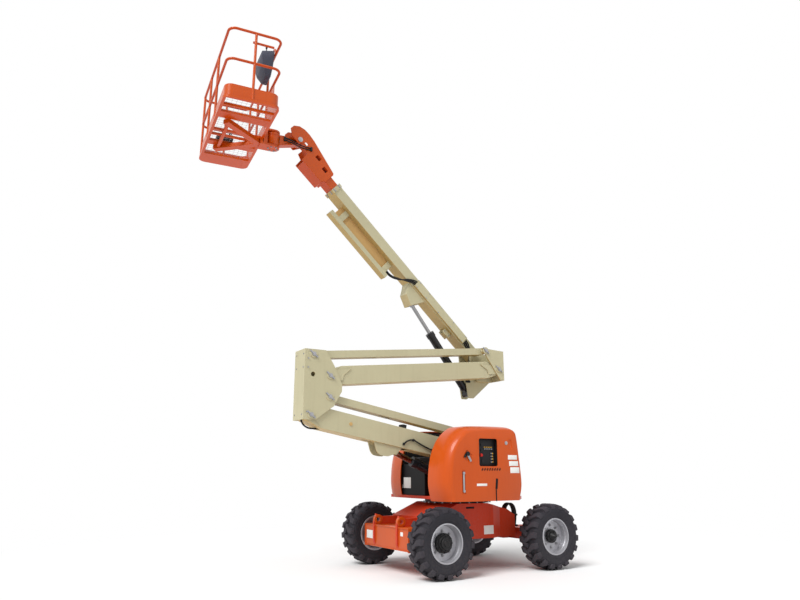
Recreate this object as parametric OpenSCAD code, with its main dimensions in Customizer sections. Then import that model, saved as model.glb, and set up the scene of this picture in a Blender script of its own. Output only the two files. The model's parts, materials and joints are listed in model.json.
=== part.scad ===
// Articulating boom lift: four wheels, slewing turntable, folding tower, telescoping boom and work platform.
// Frame: origin on the ground under the slew axis, +Z up, +X towards the steered axle.

/* [Wheels] */
// Outer diameter of a tyre at its lugs' tips
tyre_d = 850; // [780:5:900]
// Width of a tyre
tyre_w = 310; // [260:5:340]
// Bead seat diameter of a rim
rim_d = 450; // [430:5:470]
// Distance between the two axles
wheelbase = 1784; // [1700:5:2000]
// Distance between the tyres' middle planes on one axle
track = 1778; // [1740:5:1900]

/* [Chassis] */
// Height of the frame's deck under the slew ring
deck_z = 855; // [830:5:900]
// Height of the frame's lower edge
belly_z = 400; // [360:5:440]
// Half of the frame's width at its middle
frame_half_w = 500; // [450:5:540]
// Half of the frame's width between the steered wheels
nose_half_w = 420; // [380:5:440]
// Plate thickness of the frame
frame_wall = 16; // [10:1:25]
// Half of the rear beam's length
beam_half_l = 555; // [500:5:580]
// Depth of the rear beam along the machine
beam_depth = 400; // [320:5:440]
// Bore radius of a tie-down lug
lug_bore_r = 28; // [20:1:35]
// Outer diameter of the slew ring
ring_d = 900; // [700:10:960]

/* [Turntable] */
// Height of the slew ring, from deck to turntable
ring_h = 50; // [40:1:70]
// Thickness of the turntable's base plate
base_t = 40; // [25:1:60]
// Height of a hood above the base plate's underside
hood_h = 960; // [900:5:1000]
// Length of the near hood
near_hood_l = 1270; // [1200:5:1300]
// Length of the far hood
far_hood_l = 1000; // [900:5:1040]
// Depth of a hood, from its open side to its outer face
hood_w = 350; // [300:5:380]
// Distance of a hood's outer face from the middle of the machine
hood_y = 1000; // [980:5:1040]
// Wall of a hood
hood_wall = 14; // [8:1:20]

/* [Tower] */
// Distance between the pins of a tower arm
arm_l = 2790; // [2600:10:2900]
// Depth of the lower arm
lower_depth = 265; // [240:5:280]
// Depth of the upper arm
upper_depth = 245; // [220:5:260]
// Width of both arms
arm_w = 250; // [230:2:256]
// Depth of a levelling link
link_depth = 95; // [80:1:110]
// Width of a levelling link
link_w = 180; // [150:5:220]
// Wall of arms and links
arm_wall = 9; // [6:1:14]
// Rise of the lower arm from the turntable, in degrees
lower_rise = 10.4; // [4:0.1:20]
// Rise of the upper arm from the knee, in degrees
upper_rise = 6.1; // [4:0.1:20]
// Outer width of the knee uprights
upright_w = 320; // [310:2:330]
// Plate thickness of the uprights
plate_t = 20; // [14:1:24]
// Radius of the tower's pins
pin_r = 34; // [28:1:38]

/* [Boom] */
// Elevation of the main boom, in degrees
boom_rise = 42.26; // [30:0.5:50]
// Distance from the boom's pivot to its mouth
boom_l = 3470; // [3300:10:3600]
// Side height of the boom
boom_h = 156; // [150:1:180]
// Width of the boom
boom_w = 210; // [200:1:220]
// Wall of the boom
boom_wall = 8; // [6:1:12]
// Clearance between the boom and the fly section
fly_gap = 6; // [4:0.5:8]
// Length of the fly section inside the boom
fly_inside = 2300; // [2200:10:2500]
// Width of the fly's head
head_w = 240; // [220:1:250]

/* [Platform] */
// Length of the platform, across the boom
deck_l = 1950; // [1500:10:2000]
// Width of the platform
deck_w = 710; // [700:5:800]
// Height of the top rail above the floor
rail_h = 950; // [900:10:1100]
// Diameter of the rails
rail_d = 34; // [32:1:44]
// Bend radius of the rails' corners
corner_r = 95; // [80:5:150]
// Height of the toe boards
toe_h = 160; // [120:5:200]
// Turn of the platform about its rotator, in degrees
platform_turn = -6; // [-15:0.5:15]

/* [Hidden] */
$fn = 48;

// Shared clearances and the overrun of a cut
run_gap = 0.3;
side_gap = 5;
over = 2;

// Colours
orange = [0.93, 0.35, 0.08];
deep_red = [0.72, 0.20, 0.10];
cream = [0.80, 0.72, 0.60];
black = [0.08, 0.08, 0.09];
rubber = [0.16, 0.16, 0.17];
silver = [0.75, 0.75, 0.76];
chrome = [0.85, 0.86, 0.88];
grey = [0.35, 0.36, 0.37];

// Axles
axle_z = tyre_d / 2;
axle_x = wheelbase / 2;
wheel_y = track / 2;

// Frame heights and reach
frame_back_off = 132;
frame_rear_x = frame_back_off - axle_x;
frame_front_x = 700;
ring_wall = 80;
shoulder_drop = 90;
end_drop = 170;
waist_rear_x = -350;
waist_front_x = 150;
nose_x = 560;
taper_start_x = 250;
taper_end_x = 430;

// Rear beam and its lugs
beam_bottom_z = 300;
beam_top_z = 565;
beam_rear_x = frame_rear_x - beam_depth;
beam_wall = 20;
lug_y = 300;
lug_t = 36;
lug_bore_in = 45;
lug_bore_up = 78;
lug_bore_x = beam_rear_x + lug_bore_in;
lug_bore_z = beam_top_z + lug_bore_up;
lug_r = 75;
lug_toe = 22;
motor_r = 110;
motor_tuck = 10;
motor_end_y = wheel_y - tyre_w / 2 + motor_tuck;
spindle_r = 60;

// Steered axle
front_beam_w = 160;
front_beam_h = 150;
front_beam_half_l = 550;
axle_block_w = 320;
king_y = 640;
king_r = 38;
yoke_t = 28;
yoke_half_w = 75;
knuckle_half_w = 62;
knuckle_h = 140;
steer_arm_l = 215;
steer_arm_w = 60;
steer_arm_t = 26;
steer_spindle_r = 40;
tow_plate_w = 220;
tow_plate_t = 28;
tow_bore_x = 1200;
tow_round_r = 62;
tie_r = 18;
tie_eye_r = 34;

// Wheel sections
rim_wall = 14;
flange_h = 14;
flange_t = 10;
rim_half_w = 135;
disc_t = 14;
disc_y = 20;
hub_seat_r = 84;
hub_r = 118;
hub_step_r = 88;
hub_out = 120;
hub_cap_l = 42;
hub_bore_depth = 40;
cone_tip_r = 22;
bead_gap = 0.3;
tyre_bulge = 8;
lug_h = 32;
lug_count = 18;
tread_share = 0.78;
// A tread bar's outline, as shares of the pitch around the tyre and of half its width across
lug_shares = [[0.13, -0.1], [0.44, -0.1], [0.3, 0.42], [0.3, 0.96], [-0.22, 0.96], [-0.22, 0.42]];
sidewall_share = 0.45;

// Turntable heights and outlines
base_z = deck_z + ring_h;
base_top_z = base_z + base_t;
near_rear_x = 385;
near_front_x = near_rear_x - near_hood_l;
far_rear_x = 430;
far_front_x = far_rear_x - far_hood_l;
hood_inner_y = hood_y - hood_w;
hood_bevel = 45;
base_inset = 25;
base_front = 70;
// Outline of a hood's side as shares of its length and height, from the front's lower corner
hood_shares = [
    [0.03, 0], [0, 0.20], [0.004, 0.46], [0.028, 0.67], [0.10, 0.83], [0.22, 0.965],
    [0.30, 0.985], [0.895, 1], [0.93, 0.985], [0.95, 0.95], [1, 0.22], [0.962, 0]
];
weight_share = 0.55;
weight_round_share = 0.65;
weight_clear = 55;
weight_chamfer = 120;
weight_bulge = 60;
engine_gap = 40;
engine_l_share = 0.62;
engine_h_share = 0.55;
tank_l = 100;
tank_h_share = 0.45;
window_l = 300;
window_h = 350;
window_x = -350;
window_z = 1340;
box_depth = 180;
hood_hinge_r = 15;
hood_hinge_h = 220;
hood_hinge_z = 170;
hood_hinge_in = 32;

// Tower pins, from the lower arm's base pin
base_pin = [322, 1455];
link_step = [250, 236];
knee_step = [250, 504];
knee_top_step = [10, 762];
tower_y = -150;
boom_y = 150;
function rise(a, l) = [l * cos(a), l * sin(a)];
knee_pin = base_pin + [-arm_l * cos(lower_rise), arm_l * sin(lower_rise)];
base_link_pin = base_pin + link_step;
knee_link_pin = knee_pin + link_step;
upper_pin = knee_pin + knee_step;
upper_link_pin = knee_pin + knee_top_step;
head_pin = upper_pin + rise(upper_rise, arm_l);
head_link_pin = upper_link_pin + rise(upper_rise, arm_l);
arm_end_r = 82;
arm_taper = 190;
knee_hole_r = 30;
pin_head_r = 50;
pin_head_t = 10;
window_share = 0.3;
slot_l = 160;
slot_w = 60;

// Knee upright outline, as steps from the knee pin
knee_back = 108;
knee_foot = 62;
knee_crown = 62;
knee_nose = 170;
knee_shoulder = 60;

// Turntable post outline, as steps from the base pin
post_back_x = 640;
post_front_x = 200;
post_top = 70;
post_gap = 12;

// Boom upright and the boom's pivot
boom_pivot_step = [-42, 150];
lift_base_step = [-252, -339];
lift_eye_step = [-1247, 827];
boom_pivot = head_pin + boom_pivot_step;
lift_base = head_pin + lift_base_step;
lift_eye = boom_pivot + lift_eye_step;
boom_plate_y = boom_y + boom_w / 2 + plate_t;
ear_gap = 150;
head_margin = 68;
head_back = 100;
head_foot = 165;
ear_margin = 76;
ear_wide_share = 1.3;
ear_tip_share = 0.6;
ear_side_share = 0.4;
head_rise = 95;
lift_pin_r = 30;

// Boom details, along the boom from its pivot and up from its axis
boom_end_r = boom_h / 2;
solid_root_l = 150;
collar_l = 60;
collar_t = 12;
fly_w = boom_w - 2 * boom_wall - 2 * fly_gap;
fly_h = boom_h - 2 * boom_wall - 2 * fly_gap;
fly_wall = 7;
fly_bare = 140;
clevis_l = 330;
clevis_t = 18;
clevis_nose = 226;
clevis_chin = 137;
clevis_drop = 85;
clevis_plate = 12;
cover_t = 38;
cover_wall = 5;
cover_h = 124;
cover_start = 450;
cover_end = 1620;
lift_eye_off = lift_eye - boom_pivot;
eye_x = lift_eye_off[0] * cos(boom_rise) - lift_eye_off[1] * sin(boom_rise);
eye_z = lift_eye_off[0] * sin(boom_rise) + lift_eye_off[1] * cos(boom_rise);
tray_w = 120;
tray_h = 70;
tray_wall = 5;
tray_back = 220;
tray_clear = 305;
tray_end = boom_l - tray_back;
tray_start = clevis_nose + tray_clear - eye_x;
tray_drop = 210;
tray_foot_l = 90;
// Outline of the fly's head as shares of the head's length along the boom and of its height
head_l = 800;
head_h = 260;
head_shares = [
    [0, -0.36], [0, 0.36], [0.02, 0.45], [0.67, 0.85], [0.82, 0.89], [0.93, 0.86], [1.03, 0.74], [1.1, 0.48],
    [1.1, 0.22], [0.98, -0.04], [0.8, -0.04], [0.745, 0.4], [0.69, 0.4], [0.69, 0.06], [0.58, -0.06],
    [0.56, -0.56], [0.045, -0.54], [0.03, -0.36]
];
head_plate = 16;
mouth_share = 0.52;
window_shares = [[0.35, 0.34], [0.12, 0.16]];
head_window_l = 78;
head_window_h = 56;

// Platform levelling and rotating
tip_reach = 674;
tip_drop = -50;
tip_along = boom_l + fly_bare + tip_reach;
tip_pin = boom_pivot + [
    -tip_along * cos(boom_rise) - tip_drop * sin(boom_rise),
    tip_along * sin(boom_rise) - tip_drop * cos(boom_rise)
];
stem_l = 360;
rotator_x = tip_pin[0] - stem_l;
tip_pin_r = 25;
rotator_r = 92;
rotator_h = 200;
rotator_drop = 160;
rotator_z = tip_pin[1] - rotator_drop;
bracket_w = 110;
bracket_h = 150;
bracket_boss_r = 55;
bracket_root_share = 0.6;
bracket_top_share = 0.9;
bracket_low_share = 0.1;
floor_drop = 80;
floor_z = tip_pin[1] - floor_drop;
floor_t = 34;
deck_clear = 35;
inner_edge = head_w / 2 + deck_clear;
support_plate_t = 26;
support_w = 90;
support_h = 60;
support_spread = 38;
support_reach_share = 0.95;
floor_rim = 38;
// Gaps between the floor's cross bars, as shares of its length from the near end
floor_gap_shares = [[0.02, 0.105], [0.117, 0.2], [0.28, 0.455], [0.467, 0.53], [0.542, 0.63], [0.69, 0.85]];
post_shares = [0.37, 0.66, 0.94];
mid_rail_share = 0.54;
toe_t = 6;
console_l = 420;
console_y = -430;
panel_t = 6;
hoop_l = 360;
hoop_h = 130;
hoop_d = 25;
console_w = 170;
console_h = 180;
console_drop = 130;
switch_l = 220;
switch_w = 260;
switch_share = 0.66;
switch_h = 70;
gate_share = 0.88;
gate_d = 30;

// Tower lift cylinder
tower_cyl_base = [-20, 1060];
tower_cyl_eye = [-1170, 1540];
cyl_r = 62;
rod_r = 36;
gland_r = 70;
gland_l = 70;
eye_r = 50;
eye_w = ear_gap - 2 * side_gap;
tower_barrel_share = 0.72;
lift_barrel_share = 0.66;
lift_cyl_r = 58;
lug_plate_t = 20;
lug_gap = ear_gap;
neck_l = 90;
tower_rod_start = 230;
lift_rod_start = 505;
eye_waist_share = 0.7;
eye_room = 130;
rod_room = 230;

// Helpers: a plate drawn in X and Z and extruded across the machine, a pin across it, and placing
module slab(points, w, y) {
    translate([0, y + w / 2, 0]) rotate([90, 0, 0]) linear_extrude(w) polygon(points);
}

module cross_pin(p, r, w, y) {
    translate([p[0], y + w / 2, p[1]]) rotate([90, 0, 0]) cylinder(r = r, h = w);
}

module at_pin(p, a) {
    translate([p[0], 0, p[1]]) rotate([0, -a, 0]) children();
}

module bar(x0, x1, w, h, y, z) {
    translate([x0, y - w / 2, z - h / 2]) cube([x1 - x0, w, h]);
}

// Chassis
module frame_block(inset) {
    rear = frame_rear_x + inset;
    front = frame_front_x - inset;
    mid_w = frame_half_w - inset;
    nose_w = nose_half_w - inset;
    top = deck_z - inset;
    floor_level = inset > 0 ? belly_z - over : belly_z;
    intersection() {
        translate([0, 0, floor_level]) linear_extrude(top - floor_level) polygon([
            [rear, -mid_w], [taper_start_x, -mid_w], [taper_end_x, -nose_w], [front, -nose_w],
            [front, nose_w], [taper_end_x, nose_w], [taper_start_x, mid_w], [rear, mid_w]
        ]);
        slab([
            [rear, floor_level], [front, floor_level], [front, top - end_drop], [nose_x, top - shoulder_drop],
            [waist_front_x, top], [waist_rear_x, top], [rear, top - end_drop]
        ], 2 * frame_half_w + over, 0);
    }
}

module tie_lug(y) {
    difference() {
        union() {
            slab([
                [frame_rear_x + over, beam_top_z], [frame_rear_x + over, deck_z - end_drop],
                [lug_bore_x + lug_r, lug_bore_z + lug_r / 2], [lug_bore_x - lug_r / 2, lug_bore_z + lug_r],
                [beam_rear_x, lug_bore_z], [beam_rear_x, beam_top_z]
            ], lug_t, y);
            slab([
                [beam_rear_x, beam_bottom_z + lug_toe], [beam_rear_x, lug_bore_z],
                [beam_rear_x - lug_toe, lug_bore_z - lug_toe], [beam_rear_x - lug_toe, beam_bottom_z + lug_r]
            ], lug_t, y);
        }
        cross_pin([lug_bore_x, lug_bore_z], lug_bore_r, lug_t + 2 * over, y);
    }
}

module chassis_frame() {
    color(deep_red) union() {
        difference() {
            frame_block(0);
            frame_block(frame_wall);
        }
        for (side = [-1, 1]) tie_lug(side * lug_y);
    }
}

module rear_axle() {
    color(deep_red) union() {
        difference() {
            translate([beam_rear_x, -beam_half_l, beam_bottom_z])
                cube([beam_depth, 2 * beam_half_l, beam_top_z - beam_bottom_z]);
            translate([beam_rear_x + beam_wall, -beam_half_l + beam_wall, beam_bottom_z - over])
                cube([beam_depth - 2 * beam_wall, 2 * (beam_half_l - beam_wall),
                      beam_top_z - beam_bottom_z - beam_wall + over]);
        }
        for (side = [-1, 1]) translate([-axle_x, 0, axle_z]) rotate([-90 * side, 0, 0]) {
            translate([0, 0, beam_half_l - beam_wall])
                cylinder(r = motor_r, h = motor_end_y - beam_half_l + beam_wall);
            translate([0, 0, beam_half_l]) cylinder(r = spindle_r, h = wheel_y - beam_half_l);
        }
    }
}

module front_axle() {
    color(deep_red) union() {
        bar(axle_x - front_beam_w / 2, axle_x + front_beam_w / 2, 2 * front_beam_half_l, front_beam_h,
            0, axle_z);
        bar(frame_front_x, axle_x, axle_block_w, front_beam_h, 0, axle_z);
        for (side = [-1, 1]) for (level = [-1, 1])
            translate([axle_x - yoke_half_w, side > 0 ? front_beam_half_l - yoke_half_w : -king_y - yoke_half_w,
                       axle_z + level * (knuckle_h / 2 + run_gap) + (level > 0 ? 0 : -yoke_t)])
                cube([2 * yoke_half_w, king_y + 2 * yoke_half_w - front_beam_half_l, yoke_t]);
        for (side = [-1, 1]) translate([axle_x, side * king_y, axle_z - knuckle_h / 2 - yoke_t])
            cylinder(r = king_r, h = knuckle_h + 2 * yoke_t);
        tow_plate();
    }
}

// Tie-down plate ahead of the steered axle, with an upright bore
module tow_plate() {
    start = axle_x + front_beam_w / 2;
    level = axle_z + front_beam_h / 2 - tow_plate_t;
    difference() {
        union() {
            translate([0, 0, level]) linear_extrude(tow_plate_t) polygon([
                [start, -tow_plate_w / 2], [tow_bore_x, -tow_round_r],
                [tow_bore_x, tow_round_r], [start, tow_plate_w / 2]
            ]);
            translate([tow_bore_x, 0, level]) cylinder(r = tow_round_r, h = tow_plate_t);
        }
        translate([tow_bore_x, 0, level - over]) cylinder(r = lug_bore_r, h = tow_plate_t + 2 * over);
    }
}

module slew_ring() {
    color(grey) difference() {
        translate([0, 0, deck_z]) cylinder(r = ring_d / 2, h = ring_h - run_gap);
        translate([0, 0, deck_z - over]) cylinder(r = ring_d / 2 - ring_wall, h = ring_h + 2 * over);
    }
}

// Wheels: drawn about +Y pointing outwards, then placed on either side
module wheel_at(x, side) {
    translate([x, side * wheel_y, axle_z]) rotate([-90 * side, 0, 0]) children();
}

module tyre_shape() {
    half = tyre_w / 2;
    bead = rim_d / 2 + bead_gap;
    seat = rim_half_w - flange_t - bead_gap;
    wall_r = bead + (tyre_d / 2 - bead) * sidewall_share;
    base_r = tyre_d / 2 - lug_h;
    union() {
        rotate_extrude() polygon([
            [bead, -seat], [bead + flange_h + bead_gap * 4, -seat], [wall_r, -half],
            [base_r - lug_h, -half + tyre_bulge], [base_r, -half * tread_share], [base_r, half * tread_share],
            [base_r - lug_h, half - tyre_bulge], [wall_r, half],
            [bead + flange_h + bead_gap * 4, seat], [bead, seat]
        ]);
        for (side = [-1, 1]) for (i = [0 : lug_count - 1])
            rotate([0, 0, (i + side / 4) * 360 / lug_count]) tread_lug(side);
    }
}

// One tread bar: it starts past the middle, bends and runs straight over the shoulder
module tread_lug(side) {
    half = tyre_w / 2;
    pitch = PI * tyre_d / lug_count;
    top_r = sqrt(tyre_d * tyre_d / 4 - pitch * pitch / 4);
    translate([tyre_d / 2 - 2 * lug_h, 0, 0]) rotate([90, 0, 90])
        linear_extrude(top_r - tyre_d / 2 + 2 * lug_h) polygon([for (s = lug_shares) [s[0] * pitch, side * s[1] * half]]);
}

module rim_shape() {
    seat = rim_d / 2;
    inner = seat - rim_wall;
    rotate_extrude() polygon([
        [inner, -rim_half_w], [seat + flange_h, -rim_half_w], [seat + flange_h, -rim_half_w + flange_t],
        [seat, -rim_half_w + flange_t], [seat, rim_half_w - flange_t],
        [seat + flange_h, rim_half_w - flange_t], [seat + flange_h, rim_half_w], [inner, rim_half_w],
        [inner, disc_y + disc_t], [hub_seat_r, disc_y], [hub_seat_r, disc_y - disc_t],
        [inner, disc_y - disc_t / 2]
    ]);
}

module drive_hub_shape() {
    difference() {
        rotate_extrude() polygon([
            [0, -hub_bore_depth], [hub_seat_r - run_gap, -hub_bore_depth], [hub_seat_r - run_gap, disc_y],
            [hub_r, disc_y + disc_t], [hub_r, hub_out - hub_cap_l], [hub_step_r, hub_out - hub_cap_l],
            [hub_step_r, hub_out], [cone_tip_r, hub_out + flange_t], [0, hub_out + flange_t]
        ]);
        translate([0, 0, -hub_bore_depth - over])
            cylinder(r = spindle_r + run_gap, h = hub_bore_depth + over + run_gap);
    }
}

module steer_hub_shape() {
    difference() {
        rotate_extrude() polygon([
            [0, -hub_bore_depth], [hub_seat_r - run_gap, -hub_bore_depth], [hub_seat_r - run_gap, disc_y],
            [hub_step_r, disc_y + disc_t], [hub_step_r, hub_out / 2],
            [hub_seat_r / 2 + cone_tip_r, hub_out - hub_cap_l],
            [cone_tip_r, hub_out + hub_cap_l / 2], [0, hub_out + hub_cap_l / 2]
        ]);
        translate([0, 0, -hub_bore_depth - over])
            cylinder(r = steer_spindle_r + run_gap, h = hub_bore_depth + over + run_gap);
    }
}

module rear_near_tyre() { color(rubber) wheel_at(-axle_x, -1) tyre_shape(); }
module rear_near_rim() { color(silver) wheel_at(-axle_x, -1) rim_shape(); }
module rear_near_hub() { color(black) wheel_at(-axle_x, -1) drive_hub_shape(); }
module rear_far_tyre() { color(rubber) wheel_at(-axle_x, 1) tyre_shape(); }
module rear_far_rim() { color(silver) wheel_at(-axle_x, 1) rim_shape(); }
module rear_far_hub() { color(black) wheel_at(-axle_x, 1) drive_hub_shape(); }
module steer_near_tyre() { color(rubber) wheel_at(axle_x, -1) tyre_shape(); }
module steer_near_rim() { color(silver) wheel_at(axle_x, -1) rim_shape(); }
module steer_near_hub() { color(black) wheel_at(axle_x, -1) steer_hub_shape(); }
module steer_far_tyre() { color(rubber) wheel_at(axle_x, 1) tyre_shape(); }
module steer_far_rim() { color(silver) wheel_at(axle_x, 1) rim_shape(); }
module steer_far_hub() { color(black) wheel_at(axle_x, 1) steer_hub_shape(); }

// Steering
module knuckle(side) {
    difference() {
        union() {
            translate([axle_x - knuckle_half_w, side > 0 ? king_y - knuckle_half_w : -king_y - knuckle_half_w,
                       axle_z - knuckle_h / 2])
                cube([2 * knuckle_half_w, 2 * knuckle_half_w, knuckle_h]);
            translate([axle_x, side * king_y, axle_z]) rotate([-90 * side, 0, 0])
                cylinder(r = steer_spindle_r, h = wheel_y - king_y);
            bar(axle_x, axle_x + steer_arm_l, steer_arm_w, steer_arm_t, side * king_y,
                axle_z - (knuckle_h - steer_arm_t) / 2);
            translate([axle_x + steer_arm_l, side * king_y, axle_z - knuckle_h / 2]) {
                cylinder(r = steer_arm_w / 2, h = steer_arm_t);
                cylinder(r = tie_r, h = steer_arm_t + run_gap + 2 * tie_r);
            }
        }
        translate([axle_x, side * king_y, axle_z - knuckle_h])
            cylinder(r = king_r + run_gap, h = 2 * knuckle_h);
    }
}

module near_knuckle() { color(black) knuckle(-1); }
module far_knuckle() { color(black) knuckle(1); }

module tie_rod() {
    level = axle_z - knuckle_h / 2 + steer_arm_t + run_gap;
    color(grey) difference() {
        union() {
            translate([axle_x + steer_arm_l, -king_y, level + tie_r]) rotate([-90, 0, 0])
                cylinder(r = tie_r, h = 2 * king_y);
            for (side = [-1, 1]) translate([axle_x + steer_arm_l, side * king_y, level])
                cylinder(r = tie_eye_r, h = 2 * tie_r);
        }
        for (side = [-1, 1]) translate([axle_x + steer_arm_l, side * king_y, level - over])
            cylinder(r = tie_r + run_gap, h = 2 * tie_r + 2 * over);
    }
}

// Turntable
module turntable_base() {
    edge = base_inset * 2;
    color(deep_red) union() {
        hood_pin(near_rear_x, -1);
        hood_pin(far_rear_x, 1);
        translate([0, 0, base_z]) linear_extrude(base_t) polygon([
            [near_front_x + base_front, -hood_inner_y - hood_w / 2], [near_front_x + 2 * base_front, -hood_y + edge],
            [near_rear_x - edge, -hood_y + edge], [post_back_x, -hood_inner_y],
            [post_back_x, hood_inner_y], [far_rear_x - edge, hood_y - edge],
            [far_front_x + edge, hood_y - edge], [far_front_x + base_inset, hood_inner_y],
            [far_front_x + base_inset, -hood_inner_y]
        ]);
    }
}

module tower_post() {
    ear = [tower_cyl_base[0], tower_cyl_base[1]];
    color(deep_red) union() {
        for (side = [-1, 1]) slab([
            [post_front_x, base_top_z], [post_front_x, base_pin[1] + post_top],
            [base_link_pin[0] - post_top, base_link_pin[1] + post_top],
            [post_back_x, base_link_pin[1] + post_top], [post_back_x, base_top_z]
        ], plate_t, tower_y + side * (upright_w - plate_t) / 2);
        cross_pin(base_pin, pin_r, upright_w, tower_y);
        cross_pin(base_link_pin, pin_r, upright_w, tower_y);
        for (side = [-1, 1]) slab([
            [ear[0] - eye_r - plate_t, base_top_z], [ear[0] - eye_r, ear[1] + eye_r],
            [ear[0] + eye_r, ear[1] + eye_r], [ear[0] + eye_r + plate_t, base_top_z]
        ], plate_t, tower_y + side * (lug_gap + plate_t) / 2);
        cross_pin(tower_cyl_base, lift_pin_r, lug_gap + plate_t, tower_y);
    }
}

module counterweight() {
    half = hood_inner_y - weight_clear;
    bulge = post_back_x + weight_bulge;
    color(orange) difference() {
        translate([0, 0, base_top_z]) linear_extrude(hood_h * weight_share) polygon([
            [near_rear_x + plate_t, -half], [post_back_x - weight_chamfer, -half],
            [bulge - plate_t, -half * weight_round_share], [bulge, 0],
            [bulge - plate_t, half * weight_round_share], [post_back_x - weight_chamfer, half],
            [far_rear_x + plate_t, half]
        ]);
        translate([post_front_x, tower_y - upright_w / 2 - post_gap, base_z])
            cube([post_back_x - post_front_x + plate_t, upright_w + 2 * post_gap, hood_h]);
    }
}

module engine_block() {
    start_y = boom_y + upright_w / 2 + engine_gap;
    color(black) translate([far_front_x + hood_w / 2, start_y, base_top_z])
        cube([far_hood_l * engine_l_share, hood_y - hood_bevel - base_inset - start_y, hood_h * engine_h_share]);
}

module hydraulic_tank() {
    start_y = tower_y + upright_w / 2 + plate_t;
    color(black) translate([far_front_x + base_inset * 2, start_y, base_top_z])
        cube([tank_l, hood_inner_y - plate_t - start_y, hood_h * tank_h_share]);
}

// The ground control box stands on the base plate behind the near hood's window
module control_box() {
    face = hood_y - hood_wall - hood_bevel;
    color(black) union() {
        translate([window_x - hood_wall, -face + run_gap, window_z - hood_wall])
            cube([window_l + 2 * hood_wall, box_depth, window_h + 2 * hood_wall]);
        translate([window_x + window_l / 4, -face + box_depth / 4, base_top_z])
            cube([window_l / 2, box_depth / 2, window_z - hood_wall - base_top_z]);
    }
}

function hood_outline(front, l, wall) = [
    for (s = hood_shares) [front + wall + s[0] * (l - 2 * wall), base_z + wall + s[1] * (hood_h - 2 * wall)]
];

module hood_shell(front, l) {
    inner = hood_y - hood_w;
    difference() {
        hull() {
            slab(hood_outline(front, l, 0), hood_w - hood_bevel, -inner - (hood_w - hood_bevel) / 2);
            slab(hood_outline(front, l, hood_bevel), hood_w, -inner - hood_w / 2);
        }
        hull() {
            slab(hood_outline(front, l, hood_wall), hood_w - hood_bevel - hood_wall + over,
                 -inner - (hood_w - hood_bevel - hood_wall - over) / 2);
            slab(hood_outline(front, l, hood_bevel + hood_wall), hood_w - hood_wall + over,
                 -inner - (hood_w - hood_wall - over) / 2);
        }
        translate([front - over, -hood_y + base_inset * 2 - side_gap, base_z - over])
            cube([l + 2 * over, 2 * hood_w, base_t + side_gap + over]);
    }
}

// Hinge of a hood: a pin that stands on the base plate and a knuckle on the hood's rear edge
module hood_pin(rear, side) {
    translate([rear - hood_hinge_in, side * (hood_inner_y - hood_hinge_in / 2), base_top_z])
        cylinder(r = hood_hinge_r, h = hood_hinge_z + hood_hinge_h + side_gap);
}

module hood_knuckle(rear, side) {
    translate([rear - hood_hinge_in, side * (hood_inner_y - hood_hinge_in / 2), base_top_z + hood_hinge_z])
        difference() {
            cylinder(r = hood_hinge_r * 2, h = hood_hinge_h);
            translate([0, 0, -over]) cylinder(r = hood_hinge_r + run_gap, h = hood_hinge_h + 2 * over);
        }
}

module hood_bore(rear, side) {
    translate([rear - hood_hinge_in, side * (hood_inner_y - hood_hinge_in / 2), base_top_z])
        cylinder(r = hood_hinge_r + run_gap, h = hood_h / 2);
}

module near_hood() {
    color(orange) difference() {
        union() {
            hood_shell(near_front_x, near_hood_l);
            hood_knuckle(near_rear_x, -1);
        }
        hood_bore(near_rear_x, -1);
        translate([window_x, -hood_y - over, window_z]) cube([window_l, hood_w / 2, window_h]);
    }
}

module far_hood() {
    color(orange) difference() {
        union() {
            mirror([0, 1, 0]) hood_shell(far_front_x, far_hood_l);
            hood_knuckle(far_rear_x, 1);
        }
        hood_bore(far_rear_x, 1);
    }
}

// Tower arms and links: drawn from a pin at the origin to a pin at length l, along +X
module arm_shape(l, depth, w, end_r, taper, wall) {
    difference() {
        union() {
            slab([
                [0, -end_r], [taper, -depth / 2], [l - taper, -depth / 2], [l, -end_r],
                [l, end_r], [l - taper, depth / 2], [taper, depth / 2], [0, end_r]
            ], w, tower_y);
            for (x = [0, l]) cross_pin([x, 0], end_r, w, tower_y);
        }
        bar(taper, l - taper, w - 2 * wall, depth - 2 * wall, tower_y, 0);
        bar(l * window_share, l * window_share + slot_l, slot_w, depth / 2, tower_y, -depth / 2);
        for (x = [0, l]) cross_pin([x, 0], pin_r + run_gap, w + 2 * over, tower_y);
    }
}

module lower_arm() {
    eye = tower_cyl_eye - base_pin;
    eye_x = eye[0] * cos(lower_rise) - eye[1] * sin(lower_rise);
    eye_z = eye[0] * sin(lower_rise) + eye[1] * cos(lower_rise);
    waist = eye_r * eye_waist_share;
    root_z = -lower_depth / 2 + arm_wall / 2;
    color(cream) at_pin(base_pin, -lower_rise) union() {
        difference() {
            translate([-arm_l, 0, 0]) arm_shape(arm_l, lower_depth, arm_w, arm_end_r, arm_taper, arm_wall);
            bar(eye_x - eye_room, eye_x + rod_room, lug_gap, lower_depth, tower_y, -lower_depth / 2);
        }
        for (side = [-1, 1]) slab([
            [eye_x - eye_r * 2, root_z], [eye_x - waist, eye_z - eye_r],
            [eye_x + waist, eye_z - eye_r], [eye_x + eye_r * 2, root_z]
        ], lug_plate_t, tower_y + side * (lug_gap + lug_plate_t) / 2);
    }
}

module lower_link() {
    color(cream) at_pin(base_link_pin, -lower_rise)
        translate([-arm_l, 0, 0]) arm_shape(arm_l, link_depth, link_w, link_depth / 2, link_depth, arm_wall);
}

module upper_arm() {
    color(cream) at_pin(upper_pin, upper_rise)
        arm_shape(arm_l, upper_depth, arm_w, arm_end_r, arm_taper, arm_wall);
}

module upper_link() {
    color(cream) at_pin(upper_link_pin, upper_rise)
        arm_shape(arm_l, link_depth, link_w, link_depth / 2, link_depth, arm_wall);
}

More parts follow.
